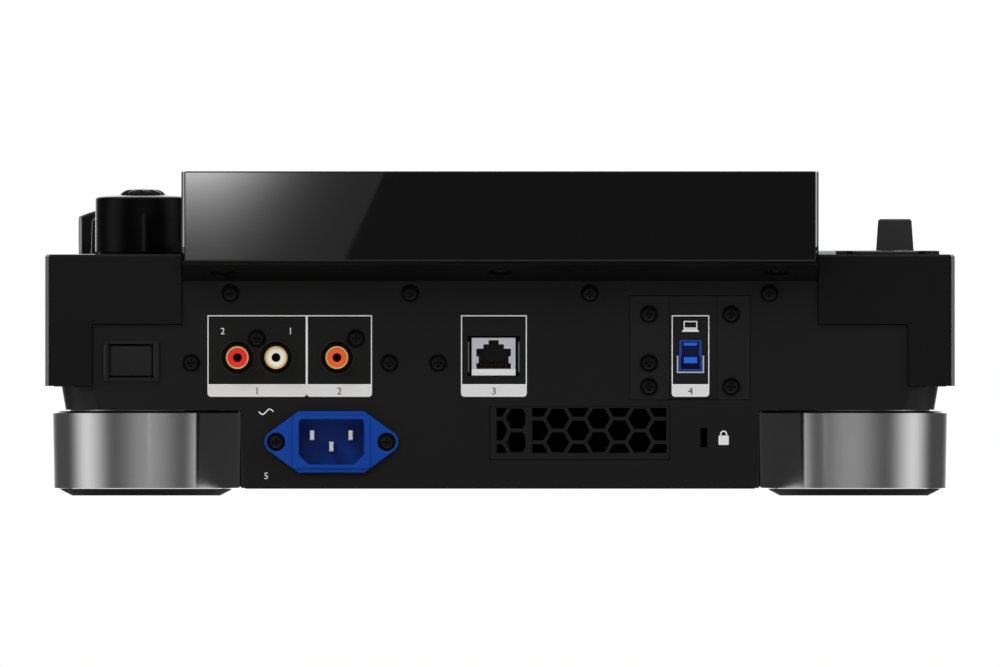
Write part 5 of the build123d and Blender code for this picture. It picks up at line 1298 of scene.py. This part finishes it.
@dataclass
class Keys:
    """Sprung keys, the eight pale hot cue keys and the two round buttons."""

    hot_x: float = -110.25
    hot_pitch: float = 27.5
    hot_y: float = 66.0
    top: float = 88.6
    round_x: float = -138.4
    round_radius: float = 15.0
    round_buttons: tuple[tuple[str, float, Finish], ...] = (
        ("play_button", -193.0, PLAY_GREEN), ("cue_button", -149.0, CUE_AMBER))
    flange: float = 1.2
    flange_rise: float = 1.0
    corner: float = 0.9
    edge_radius: float = 0.45
    swell: float = 0.1
    dip: float = 0.04
    figure: float = 4.2
    arrow_half: Pair = (1.5, 1.6)
    bar_half: float = 0.35
    arrow_shift: float = 1.7
    bar_shift: float = 2.2
    sign_thick: float = 0.05
    plain: tuple[str, ...] = ("track_back", "track_forward", "search_back", "search_forward",
                              "loop_in", "loop_out", "reloop", "sync")

    def pillow(self, node: str, finish: Finish, slot: str) -> None:
        """Stand a soft-edged key over a node of the frame, from its own box.

        Args:
            node: the key's node.
            finish: its finish.
            slot: its material slot.
        """
        low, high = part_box(node)
        low, high = np.array(low) / MM, np.array(high) / MM
        x, y = (low + high)[:2] / 2
        wide, deep = (high - low)[:2]
        foot, top = low[2], high[2]
        place = deck(x, y, 0)
        key = Surface()
        key.block(place, (wide, deep, 0.5), [(0, foot), (0, foot + self.flange_rise)])
        # The top swells inside its soft edge and dips a hair in the middle.
        levels = edge(foot + self.flange_rise, top - self.swell, self.edge_radius)[:-1]
        levels += [(1.6, top), (2.6, top - self.dip), (2.8, top - self.dip)]
        cap = (wide - 2 * self.flange, deep - 2 * self.flange, self.corner)
        key.block(place, cap, levels)
        key.make(f"{node}_cap", finish, node, slot, (node,))

    def build(self) -> None:
        """Build every key with its figure or sign."""
        for name in self.plain:
            self.pillow(f"{name}_key", KEY_ABS, "key_black")
        for number in range(8):
            node = f"hot_cue_key_{number + 1}"
            self.pillow(node, KEY_SILICONE, "key_pale")
            x = self.hot_x + number * self.hot_pitch
            # The ink starts a little inside the key, which dips below its box's top.
            figure = Surface().words(deck(x, self.hot_y, self.top), str(number + 1),
                                     self.figure, -0.06)
            figure.make(f"{node}_figure", BLACK_INK, node)
        self.signs()
        for name, y, colour in self.round_buttons:
            self.round_button(name, y, colour)

    def signs(self) -> None:
        """Add arrow heads to the track and search keys: one with a bar, or two in a row."""
        (long, high_half), b = self.arrow_half, self.bar_half
        arrow = np.array([[-long, -high_half], [long, 0.0], [-long, high_half]])
        bar = np.array([[-b, -high_half], [b, -high_half], [b, high_half], [-b, high_half]])
        for name, turn, doubled in (("track_back", -1, False), ("track_forward", 1, False),
                                    ("search_back", -1, True), ("search_forward", 1, True)):
            low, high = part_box(f"{name}_key")
            place = deck((low[0] + high[0]) / 2 / MM, (low[1] + high[1]) / 2 / MM,
                         high[2] / MM - self.sign_thick)
            sign = Surface()
            head = arrow * [turn, 1]
            apart = np.array([self.arrow_shift, 0])
            for shape in ((head - apart, head + apart) if doubled
                          else (head, bar + [turn * self.bar_shift, 0])):
                sign.plate(place, shape, 0.0, self.sign_thick)
            sign.make(f"{name}_sign", WHITE_INK, f"{name}_key")

    def round_button(self, node: str, y: float, colour: Finish) -> None:
        """Build a dished round button with a lens ring and its sign.

        The profile runs from the flange up the side and over the soft edge, down into the
        lens ring's groove, and over the inner rim into the dish.

        Args:
            node: the button's node.
            y: its middle.
            colour: the sign's ink.
        """
        low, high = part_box(node)
        foot, top = low[2] / MM, high[2] / MM
        r = self.round_radius
        place = deck(self.round_x, y, 0)
        profile = [(0.2, foot), (r + 1.2, foot), (r + 1.2, foot + 1.0), (r, foot + 1.0),
                   (r, top - 0.6), (r - 0.18, top - 0.18), (r - 0.6, top), (r - 1.6, top),
                   (r - 1.7, top - 0.3), (r - 3.2, top - 0.3), (r - 3.3, top),
                   (r - 4.0, top - 0.05), (r - 7.0, top - 0.5), (0.2, top - 0.7)]
        cap = Surface().turn(place, profile, 128)
        cap.make(f"{node}_cap", KEY_ABS, node, "key_black", (node,))
        ring = Surface().frame(place, circle(r - 1.75, 96), circle(r - 3.15, 96),
                               top - 0.4, top - 0.12)
        ring.make(f"{node}_ring", RING_LENS, node, "key_black")
        sign, thick = Surface(), 0.08
        seat = place.moved(0, 0, top - 0.62)
        if node.startswith("play"):
            triangle = np.array([[-1.8, -2.2], [1.8, 0], [-1.8, 2.2]])
            sign.plate(seat.moved(-1.6, 0), triangle, 0.0, thick)
            for shift in (1.5, 3.3):
                sign.plate(seat.moved(shift, 0), rounded(1.0, 4.4, 0.1), 0.0, thick)
        else:
            sign.frame(seat, circle(2.6, 48), circle(1.9, 48), 0.0, thick)
        sign.make(f"{node}_sign", colour, node)


@dataclass
class Knobs:
    """Tall browse knob with a lobed cap, and the small jog-feel knob."""

    browse: Pair = (129.3, 66.0)
    browse_radius: float = 17.05
    crown: float = 108.1
    skirt: float = 88.08
    cavity: float = 89.7
    shaft: float = 3.0
    browse_lobes: int = 9
    lobe_depth: float = 0.8
    lobe_from: float = 6.0
    collar: tuple[Pair, ...] = ((9.0, 87.1), (16.0, 87.1), (16.0, 88.5), (15.8, 88.7),
                                (9.2, 88.7), (9.0, 88.5))
    feel: Pair = (139.0, 20.0)
    feel_radius: float = 9.0
    feel_skirt: float = 87.7
    feel_flutes: int = 12
    flute_depth: float = 0.7
    flute_from: Pair = (7.6, 88.0)
    pointer: Triple = (0.8, 4.6, 0.2)
    pointer_out: float = 4.6

    def lobes(self, angle: Array, radius: float, height: float) -> Array:
        """Shallow lobes on the cap's side, at every height: depth |cos(n a / 2)|^4."""
        depth = self.lobe_depth if radius > self.lobe_from else 0.0
        return -depth * abs(np.cos(self.browse_lobes * angle / 2)) ** 4

    def flutes(self, angle: Array, radius: float, height: float) -> Array:
        """Flutes beyond a radius and above the skirt: depth |cos(n a / 2)|^5.

        Args:
            angle: angles round the knob.
            radius: radius of the ring.
            height: height of the ring.

        Returns:
            What each angle adds to the radius, zero or less.
        """
        beyond = radius > self.flute_from[0] and height > self.flute_from[1]
        depth = self.flute_depth if beyond else 0.0
        return -depth * abs(np.cos(self.feel_flutes * angle / 2)) ** 5

    def build(self) -> None:
        """Build both knobs."""
        self.browse_knob()
        self.feel_knob()
        dress("browse_plunger", JACK_NYLON)

    def browse_knob(self) -> None:
        """Build the browse knob, a smooth drum with a lobed cap, and the collar under it."""
        low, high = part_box("browse_knob")
        foot, tip = low[2] / MM, high[2] / MM
        r, c = self.browse_radius, self.crown
        profile = [(0.1, foot), (self.shaft, foot), (self.shaft, self.cavity),
                   (r - 0.9, self.cavity), (r - 0.9, self.skirt), (r - 0.1, self.skirt),
                   (r, self.skirt + 0.12), (r, 92.0), (r, 100.0), (r, c - 1.0),
                   (r - 0.15, c - 0.6), (r - 0.5, c - 0.25), (r - 1.2, c), (13.0, c + 0.3),
                   (9.2, c + 0.6), (8.6, c + 0.65), (8.3, c + 0.65)]
        place = deck(*self.browse, 0)
        cap = [(8.3, c + 0.4), (8.3, c + 0.75), (8.1, tip - 1.75), (7.4, tip - 1.1),
               (6.6, tip - 0.6), (5.9, tip - 0.35), (4.4, tip - 0.14), (2.4, tip - 0.03),
               (0.1, tip)]
        collar = Surface().turn(place, self.collar, 96, loop=True)
        collar.make("browse_knob_collar", JACK_NYLON)
        knob = Surface().turn(place, profile, 192).turn(place, cap, 216, self.lobes)
        knob.make("browse_knob_turned", KNOB_SOFT, "browse_knob", "knob_black",
                  ("browse_knob",))

    def feel_knob(self) -> None:
        """Build the jog-feel knob with twelve flutes and a pointer line."""
        low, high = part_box("jog_feel_knob")
        foot, top = low[2] / MM, high[2] / MM
        r = self.feel_radius
        profile = [(0.1, foot), (self.shaft, foot), (self.shaft, self.cavity),
                   (r - 1.6, self.cavity), (r - 1.6, self.feel_skirt), (r, self.feel_skirt),
                   (r, 89.0), (r - 0.3, top - 1.6), (r - 0.5, top - 0.8),
                   (r - 0.9, top - 0.2), (r - 1.5, top), (0.1, top)]
        place = deck(*self.feel, 0)
        knob = Surface().turn(place, profile, 240, self.flutes)
        knob.make("jog_feel_knob_fluted", KNOB_SOFT, "jog_feel_knob", "knob_black",
                  ("jog_feel_knob",))
        line = Surface().plate(place.moved(0, self.pointer_out), rounded(*self.pointer),
                               top - 0.03, top + 0.02)
        line.make("jog_feel_pointer", WHITE_INK, "jog_feel_knob")


@dataclass
class TempoFader:
    """Tempo fader: a domed cap with finger ribs and a white line on each side."""

    x: float = 139.0
    y: float = -135.0
    half_width: float = 13.4
    half_depth: float = 7.5
    bottom: float = 87.3
    shoulder: float = 100.9
    crown: float = 103.9
    taper: float = 1.1
    ribs: int = 9
    rib_depth: float = 0.4
    notch: float = 1.1
    notch_share: float = 0.14
    end_drop: float = 0.9
    end_share: float = 0.2
    blade: Triple = (1.2, 8.0, 0.2)
    line: Triple = (0.7, 9.0, 0.1)
    line_z: float = 95.0

    def relief(self, y: Array) -> Array:
        """Depth of the cap's skin at a distance from its middle.

        Fine ribs, rib_depth (1 - |sin|^0.6), cover the top, a wedge-shaped notch marks the
        middle, and both ends fall away by end_drop along a parabola.

        Args:
            y: distances from the middle.

        Returns:
            How far the skin lies below the plain dome.
        """
        share = y / self.half_depth
        fine = self.rib_depth * abs(np.sin(np.pi * self.ribs * (share + 1) / 2)) ** 0.6
        ends = np.clip((abs(share) - 1 + self.end_share) / self.end_share, 0, 1) ** 2
        notch = self.notch * np.clip(1 - abs(share) / self.notch_share, 0, 1)
        return np.maximum(self.rib_depth - fine, notch) + self.end_drop * ends

    def build(self) -> None:
        """Build the cap with its blade and its two white lines, and dress the body below.

        The cap's skin is a grid over the distance along the slot and the share across it: its
        height is the shoulder plus (crown - shoulder) * (1 - share^2), less the relief.
        """
        y = np.linspace(-self.half_depth, self.half_depth, 121)
        across = np.linspace(-1, 1, 25)
        rings = []
        for offset, depth in zip(y, self.relief(y)):
            half = self.half_width - self.taper * abs(offset) / self.half_depth
            dome = self.shoulder + (self.crown - self.shoulder) * (1 - across ** 2) - depth
            top = np.column_stack([-across * half, np.full(len(across), offset), dome])
            foot = np.array([[-half, offset, self.bottom], [half, offset, self.bottom]])
            rings.append(np.concatenate([top, foot]))
        cap = Surface().stack(deck(self.x, self.y, 0).at(np.array(rings)))
        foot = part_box("tempo_cap")[0][2] / MM
        cap.block(deck(self.x, self.y, foot), self.blade,
                  [(0, 0), (0, self.bottom + 0.2 - foot)])
        cap.make("tempo_cap_ribbed", CAP_SOFT, "tempo_cap", "knob_black", ("tempo_cap",), 60)
        line = Surface()
        for side in (-1, 1):
            face = (self.x + side * (self.half_width - 0.02), self.y, self.line_z)
            line.plate(Place(face, (0, side, 0), (0, 0, 1), (side, 0, 0)),
                       rounded(*self.line), 0.0, 0.05)
        line.make("tempo_cap_lines", WHITE_INK, "tempo_cap")
        dress("tempo_fader_body", ZINC_STEEL)


@dataclass
class DirectionLever:
    """Direction lever: a tapered paddle with soft edges, in the frame's own shape."""

    def build(self) -> None:
        """Dress the lever."""
        dress("direction_lever", LEVER_ABS)


@dataclass
class DeckPrinting:
    """White marks on the deck: the fader's scale and plain figures."""

    tempo_x: float = 139.0
    tempo_y: float = -135.0
    step: float = 5.0
    mark: float = 2.2
    long_mark: float = 4.0
    mark_width: float = 0.35
    mark_shift: float = -18.5
    figure_shift: float = -22.0
    figure: float = 2.2

    def build(self) -> None:
        """Print the scale beside the fader's slot."""
        ink = Surface()
        for number in range(-10, 11):
            long = self.long_mark if number % 5 == 0 else self.mark
            y = self.tempo_y + number * self.step
            place = deck(self.tempo_x + self.mark_shift + long / 2, y)
            ink.plate(place, rounded(long, self.mark_width, 0.05, 0, 1), 0.0, 0.03)
        for number in range(-10, 11, 5):
            y = self.tempo_y + number * self.step
            ink.words(deck(self.tempo_x + self.figure_shift, y), str(abs(number)),
                      self.figure)
        ink.make("deck_scale_printed", WHITE_INK)


@dataclass
class MemoryBay:
    """Memory-stick bay with its hinged door."""

    def build(self) -> None:
        """Dress the door and the bay."""
        dress("media_door", KEY_ABS)
        dress("media_bay", JACK_NYLON)


@dataclass
class Inside:
    """What is sealed in the case: boards, power supply, jog base and bearing."""

    finishes: dict[str, Finish] = field(default_factory=lambda: {
        "key_board": SOLDER_MASK, "main_board": SOLDER_MASK, "power_supply": SOLDER_MASK,
        "jog_base": JACK_NYLON, "jog_bearing": ZINC_STEEL})

    def build(self) -> None:
        """Dress the inner nodes."""
        for node, finish in self.finishes.items():
            dress(node, finish)


# ---- studio --------------------------------------------------------------------------------
@dataclass
class Studio:
    """Camera, floor, white surround and soft lights."""

    camera_distance: float = 8.0
    plane_y: float = 0.2045
    camera_height: float = 0.0586
    frame_width: float = 0.3617
    floor_half: float = 30.0
    hidden_rays: tuple[str, ...] = ("camera", "diffuse", "transmission", "volume_scatter",
                                    "shadow")
    screen_radius: float = 1.94
    screen_low: float = -1.5
    screen_high: float = 3.2
    screen_points: int = 180
    fill_x: float = 0.09385
    fill_y: Pair = (0.06, 0.2)
    fill_z: Pair = (0.003, 0.0305)
    fill_glow: float = 0.04
    card_half: float = 0.12
    card_y: float = 0.5
    card_z: Pair = (0.0835, 0.119)
    card_base: float = 0.13
    window_base: float = 0.33
    window_peak: float = 0.1124
    window_fall: float = 1453.0
    window_rise: float = 77.4
    window_level: float = 6.57
    window_slant: float = 0.4625
    window_edge: float = 0.0958
    window_soft: float = 0.0004
    matt_share: float = 0.45
    floor_glow: float = 0.45
    # Angle from the rear in degrees, and the brightness of the screen there.
    bands: tuple[Pair, ...] = ((0, 0.37), (9, 0.35), (15, 0.31), (27, 0.2), (33, 0.15),
                               (39, 0.13), (45, 0.17), (51, 0.32), (57, 0.52), (63, 0.71),
                               (69, 0.88), (75, 0.93), (81, 0.8), (87, 0.57), (93, 0.33),
                               (99, 0.16), (105, 0.09), (132, 0.09), (141, 0.17), (148, 0.35),
                               (153, 0.9), (158, 1.7), (180, 1.7))

    def build(self) -> None:
        """Build the whole studio."""
        self.camera()
        self.surround()
        self.floor()
        self.screen()
        self.card()
        self.fill_cards()
        self.lights()

    def camera(self) -> None:
        """Look straight at the rear without perspective, level with the player's middle."""
        data = bpy.data.cameras.new("studio_camera")
        data.type = "ORTHO"
        data.ortho_scale = self.frame_width
        data.clip_end = 100.0
        holder = bpy.data.objects.new("studio_camera", data)
        holder.location = (0, self.plane_y + self.camera_distance, self.camera_height)
        holder.rotation_euler = (math.pi / 2, 0, math.pi)
        bpy.context.scene.collection.objects.link(holder)
        bpy.context.scene.camera = holder
        bpy.context.scene.view_settings.view_transform = "Standard"

    def surround(self) -> None:
        """White where the lens, mirrors or clear parts look, and softer on matt surfaces."""
        world = bpy.data.worlds.new("studio_surround")
        world.use_nodes = True
        bpy.context.scene.world = world
        tree = world.node_tree
        path = add_node(tree, "ShaderNodeLightPath")
        seen = path.outputs["Is Camera Ray"]
        for name in ("Is Glossy Ray", "Is Transmission Ray"):
            seen = add_node(tree, "ShaderNodeMath", {"operation": "MAXIMUM"},
                            {0: seen, 1: path.outputs[name]}).outputs[0]
        strength = add_node(tree, "ShaderNodeMapRange", {"To Min": self.matt_share,
                                                         "To Max": 1.0}, {"Value": seen})
        background = tree.nodes["Background"]
        background.inputs["Color"].default_value = (1, 1, 1, 1)
        tree.links.new(strength.outputs[0], background.inputs["Strength"])

    @staticmethod
    def sheet(name: str, look: str, points: list[Triple],
              faces: list[list[int]]) -> tuple[bpy.types.Object, bpy.types.NodeTree]:
        """Add a studio surface with a new node material.

        Args:
            name: the object's name.
            look: the material's name.
            points: its corners in metres.
            faces: the corners of each face, by number.

        Returns:
            The object and its material's node tree.
        """
        mesh = bpy.data.meshes.new(name)
        mesh.from_pydata(points, [], faces)
        made = bpy.data.objects.new(name, mesh)
        bpy.context.scene.collection.objects.link(made)
        paint = bpy.data.materials.new(look)
        paint.use_nodes = True
        mesh.materials.append(paint)
        return made, paint.node_tree

    def reflector(self, name: str, look: str, points: list[Triple], faces: list[list[int]],
                  shade: Shade) -> None:
        """Add a surface that only mirrors see.

        Args:
            name: the object's name.
            look: the material's name.
            points: its corners in metres.
            faces: the corners of each face, by number.
            shade: adds the material's nodes and gives the socket of its light.
        """
        made, tree = self.sheet(name, look, points, faces)
        tree.nodes.remove(tree.nodes["Principled BSDF"])
        tree.links.new(shade(tree), tree.nodes["Material Output"].inputs["Surface"])
        for kind in self.hidden_rays:
            setattr(made, f"visible_{kind}", False)

    def floor(self) -> None:
        """A wide pale floor that shows white to the lens and keeps the shadow."""
        half = self.floor_half
        corners = [(-half, -half, 0), (half, -half, 0), (half, half, 0), (-half, half, 0)]
        floor, tree = self.sheet("studio_floor", "pale_floor_paint", corners, [[0, 1, 2, 3]])
        shader = tree.nodes["Principled BSDF"]
        shader.inputs["Base Color"].default_value = linear("#e6e6e6")
        shader.inputs["Roughness"].default_value = 0.9
        shader.inputs["Specular IOR Level"].default_value = 0.1
        path = add_node(tree, "ShaderNodeLightPath")
        glow = add_node(tree, "ShaderNodeMapRange", {"To Min": 0.0, "To Max": self.floor_glow},
                        {"Value": path.outputs["Is Camera Ray"]})
        shader.inputs["Emission Color"].default_value = (1, 1, 1, 1)
        tree.links.new(glow.outputs[0], shader.inputs["Emission Strength"])
        # Mirrors see the screen's lower part instead of the floor.
        floor.visible_glossy = False

    def screen(self) -> None:
        """A round screen of soft boxes that only mirrors see.

        It is a drum about the upright axis, and its brightness is a smooth function of the
        angle from the rear: the two sides are bright soft boxes with dark gaps beside them.
        """
        count = self.screen_points
        angle = np.arange(count) * 2 * np.pi / count
        ring = self.screen_radius * np.stack([np.sin(angle), np.cos(angle)], -1)
        points = np.concatenate([np.column_stack([ring, np.full(count, z)])
                                 for z in (self.screen_low, self.screen_high)])
        index = np.arange(count)
        following = np.roll(index, -1)
        faces = np.stack([index, index + count, following + count, following], -1)
        self.reflector("studio_screen", "soft_box_screen", points.tolist(), faces.tolist(),
                       self.screen_light)

    def screen_light(self, tree: bpy.types.NodeTree) -> bpy.types.NodeSocket:
        """Light of the screen: a ramp over the angle from the rear, the same on both sides.

        Args:
            tree: the screen's node tree.

        Returns:
            The socket of the light.
        """
        place = add_node(tree, "ShaderNodeTexCoord")
        parts = add_node(tree, "ShaderNodeSeparateXYZ", {}, {0: place.outputs["Object"]})
        side = add_node(tree, "ShaderNodeMath", {"operation": "ABSOLUTE"},
                        {0: parts.outputs[0]})
        bearing = add_node(tree, "ShaderNodeMath", {"operation": "ARCTAN2"},
                           {0: side.outputs[0], 1: parts.outputs[1]})
        share = add_node(tree, "ShaderNodeMath", {"operation": "DIVIDE", 1: math.pi},
                         {0: bearing.outputs[0]})
        ramp = add_node(tree, "ShaderNodeValToRGB", {}, {0: share.outputs[0]})
        stops = ramp.color_ramp.elements
        stops[0].position, stops[1].position = 0.0, 1.0
        for degrees, level in self.bands[1:-1]:
            stop = stops.new(degrees / 180)
            stop.color = (level, level, level, 1)
        for stop, (_, level) in ((stops[0], self.bands[0]), (stops[-1], self.bands[-1])):
            stop.color = (level, level, level, 1)
        return add_node(tree, "ShaderNodeEmission", {"Strength": 1.0},
                        {"Color": ramp.outputs[0]}).outputs[0]

    def fill_cards(self) -> None:
        """Two faint one-sided cards beside the tub, which only the feet's mirrors see."""
        (near, far), (low, high) = self.fill_y, self.fill_z
        for side in (-1, 1):
            x = side * self.fill_x
            corners = [(x, near, low), (x, far, low), (x, far, high), (x, near, high)]
            self.reflector("fill_card", "faint_fill_card", corners[::side], [[0, 1, 2, 3]],
                           self.fill_light)

    def fill_light(self, tree: bpy.types.NodeTree) -> bpy.types.NodeSocket:
        """Light of a fill card: an even glow on its front, and nothing on its back.

        Args:
            tree: the card's node tree.

        Returns:
            The socket of the light.
        """
        glow = add_node(tree, "ShaderNodeEmission", {"Color": (1, 1, 1, 1),
                                                     "Strength": self.fill_glow})
        clear = add_node(tree, "ShaderNodeBsdfTransparent")
        behind = add_node(tree, "ShaderNodeNewGeometry")
        return add_node(tree, "ShaderNodeMixShader", {}, {
            0: behind.outputs["Backfacing"], 1: glow.outputs[0],
            2: clear.outputs[0]}).outputs[0]

    def card(self) -> None:
        """A dark card with a graded window, seen only in the polished display back."""
        half, y, (low, high) = self.card_half, self.card_y, self.card_z
        corners = [(-half, y, low), (half, y, low), (half, y, high), (-half, y, high)]
        self.reflector("studio_card", "graded_card", corners, [[0, 1, 2, 3]],
                       self.card_light)

    def card_light(self, tree: bpy.types.NodeTree) -> bpy.types.NodeSocket:
        """Light of the card, over its X and Z in metres.

        The window's light is window_base plus exp(rise * Z - level - fall * (X - peak)^2), so
        it grows upwards and falls off to the right of its peak.  The window's slanted right
        edge is where X + slant * Z equals window_edge: from (0.0417, 0.117) down to
        (0.0565, 0.085).

        Args:
            tree: the card's node tree.

        Returns:
            The socket of the light.
        """
        place = add_node(tree, "ShaderNodeTexCoord")
        parts = add_node(tree, "ShaderNodeSeparateXYZ", {}, {0: place.outputs["Object"]})

        def plane(across: float, up: float, shift: float) -> bpy.types.NodeSocket:
            """A linear function of the card's X and Z: across * X + up * Z + shift.

            Args:
                across: its slope over X.
                up: its slope over Z.
                shift: its value at the origin.

            Returns:
                The socket of its value.
            """
            first = add_node(tree, "ShaderNodeMath", {"operation": "MULTIPLY_ADD", 1: across,
                                                      2: shift}, {0: parts.outputs[0]})
            return add_node(tree, "ShaderNodeMath", {"operation": "MULTIPLY_ADD", 1: up},
                            {0: parts.outputs[2], 2: first.outputs[0]}).outputs[0]

        away = plane(1.0, 0.0, -self.window_peak)
        spread = add_node(tree, "ShaderNodeMath", {"operation": "MULTIPLY"}, {0: away, 1: away})
        fall = add_node(tree, "ShaderNodeMath", {
            "operation": "MULTIPLY_ADD", 1: -self.window_fall},
            {0: spread.outputs[0], 2: plane(0.0, self.window_rise, -self.window_level)})
        power = add_node(tree, "ShaderNodeMath", {"operation": "POWER", 0: math.e},
                         {1: fall.outputs[0]})
        inside = add_node(tree, "ShaderNodeMapRange", {
            "From Min": -self.window_soft, "From Max": self.window_soft, "To Min": 0.0,
            "To Max": 1.0}, {"Value": plane(1.0, self.window_slant, -self.window_edge)})
        lit = add_node(tree, "ShaderNodeMath", {"operation": "ADD", 1: self.window_base},
                       {0: power.outputs[0]})
        level = add_node(tree, "ShaderNodeMath", {
            "operation": "MULTIPLY_ADD", 2: self.card_base},
            {0: lit.outputs[0], 1: inside.outputs[0]})
        return add_node(tree, "ShaderNodeEmission", {"Color": (1, 1, 1, 1)},
                        {"Strength": level.outputs[0]}).outputs[0]

    def lights(self) -> None:
        """Three wide area lamps, all aimed at the player's middle from above.

        A lamp looks down at rest, so it is tilted by the angle between straight down and its
        way to the middle, and then turned about the upright axis.
        """
        aim = np.array([0, 0, 0.05])
        for name, place, size, power in (("lamp_rear", (1.2, 2.6, 1.8), 1.6, 32.0),
                                         ("lamp_left", (-2.4, 1.2, 1.6), 1.4, 18.0),
                                         ("lamp_front", (-0.8, -2.4, 2.2), 1.6, 28.0)):
            data = bpy.data.lights.new(name, "AREA")
            data.size = size
            data.energy = power
            lamp = bpy.data.objects.new(name, data)
            lamp.location = place
            way = aim - np.array(place)
            tilt = math.acos(-way[2] / np.linalg.norm(way))
            lamp.rotation_euler = (tilt, 0, math.atan2(way[0], -way[1]) + math.pi)
            lamp.visible_glossy = False
            bpy.context.scene.collection.objects.link(lamp)


def main() -> None:
    """Build every sub-assembly in order, logging each one's name."""
    logging.basicConfig(level=logging.INFO, format="%(message)s")
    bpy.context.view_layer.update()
    for part in (Casing(), Feet(), DisplayBack(), RearPrinting(), Screws(), PhonoJacks(),
                 NetworkJack(), UsbSocket(), MainsInlet(), PowerSwitch(), JogWheel(), Keys(),
                 Knobs(), TempoFader(), DirectionLever(), DeckPrinting(), MemoryBay(),
                 Inside(), Studio()):
        log.info("building %s", type(part).__name__)
        part.build()


if __name__ == "__main__":
    main()
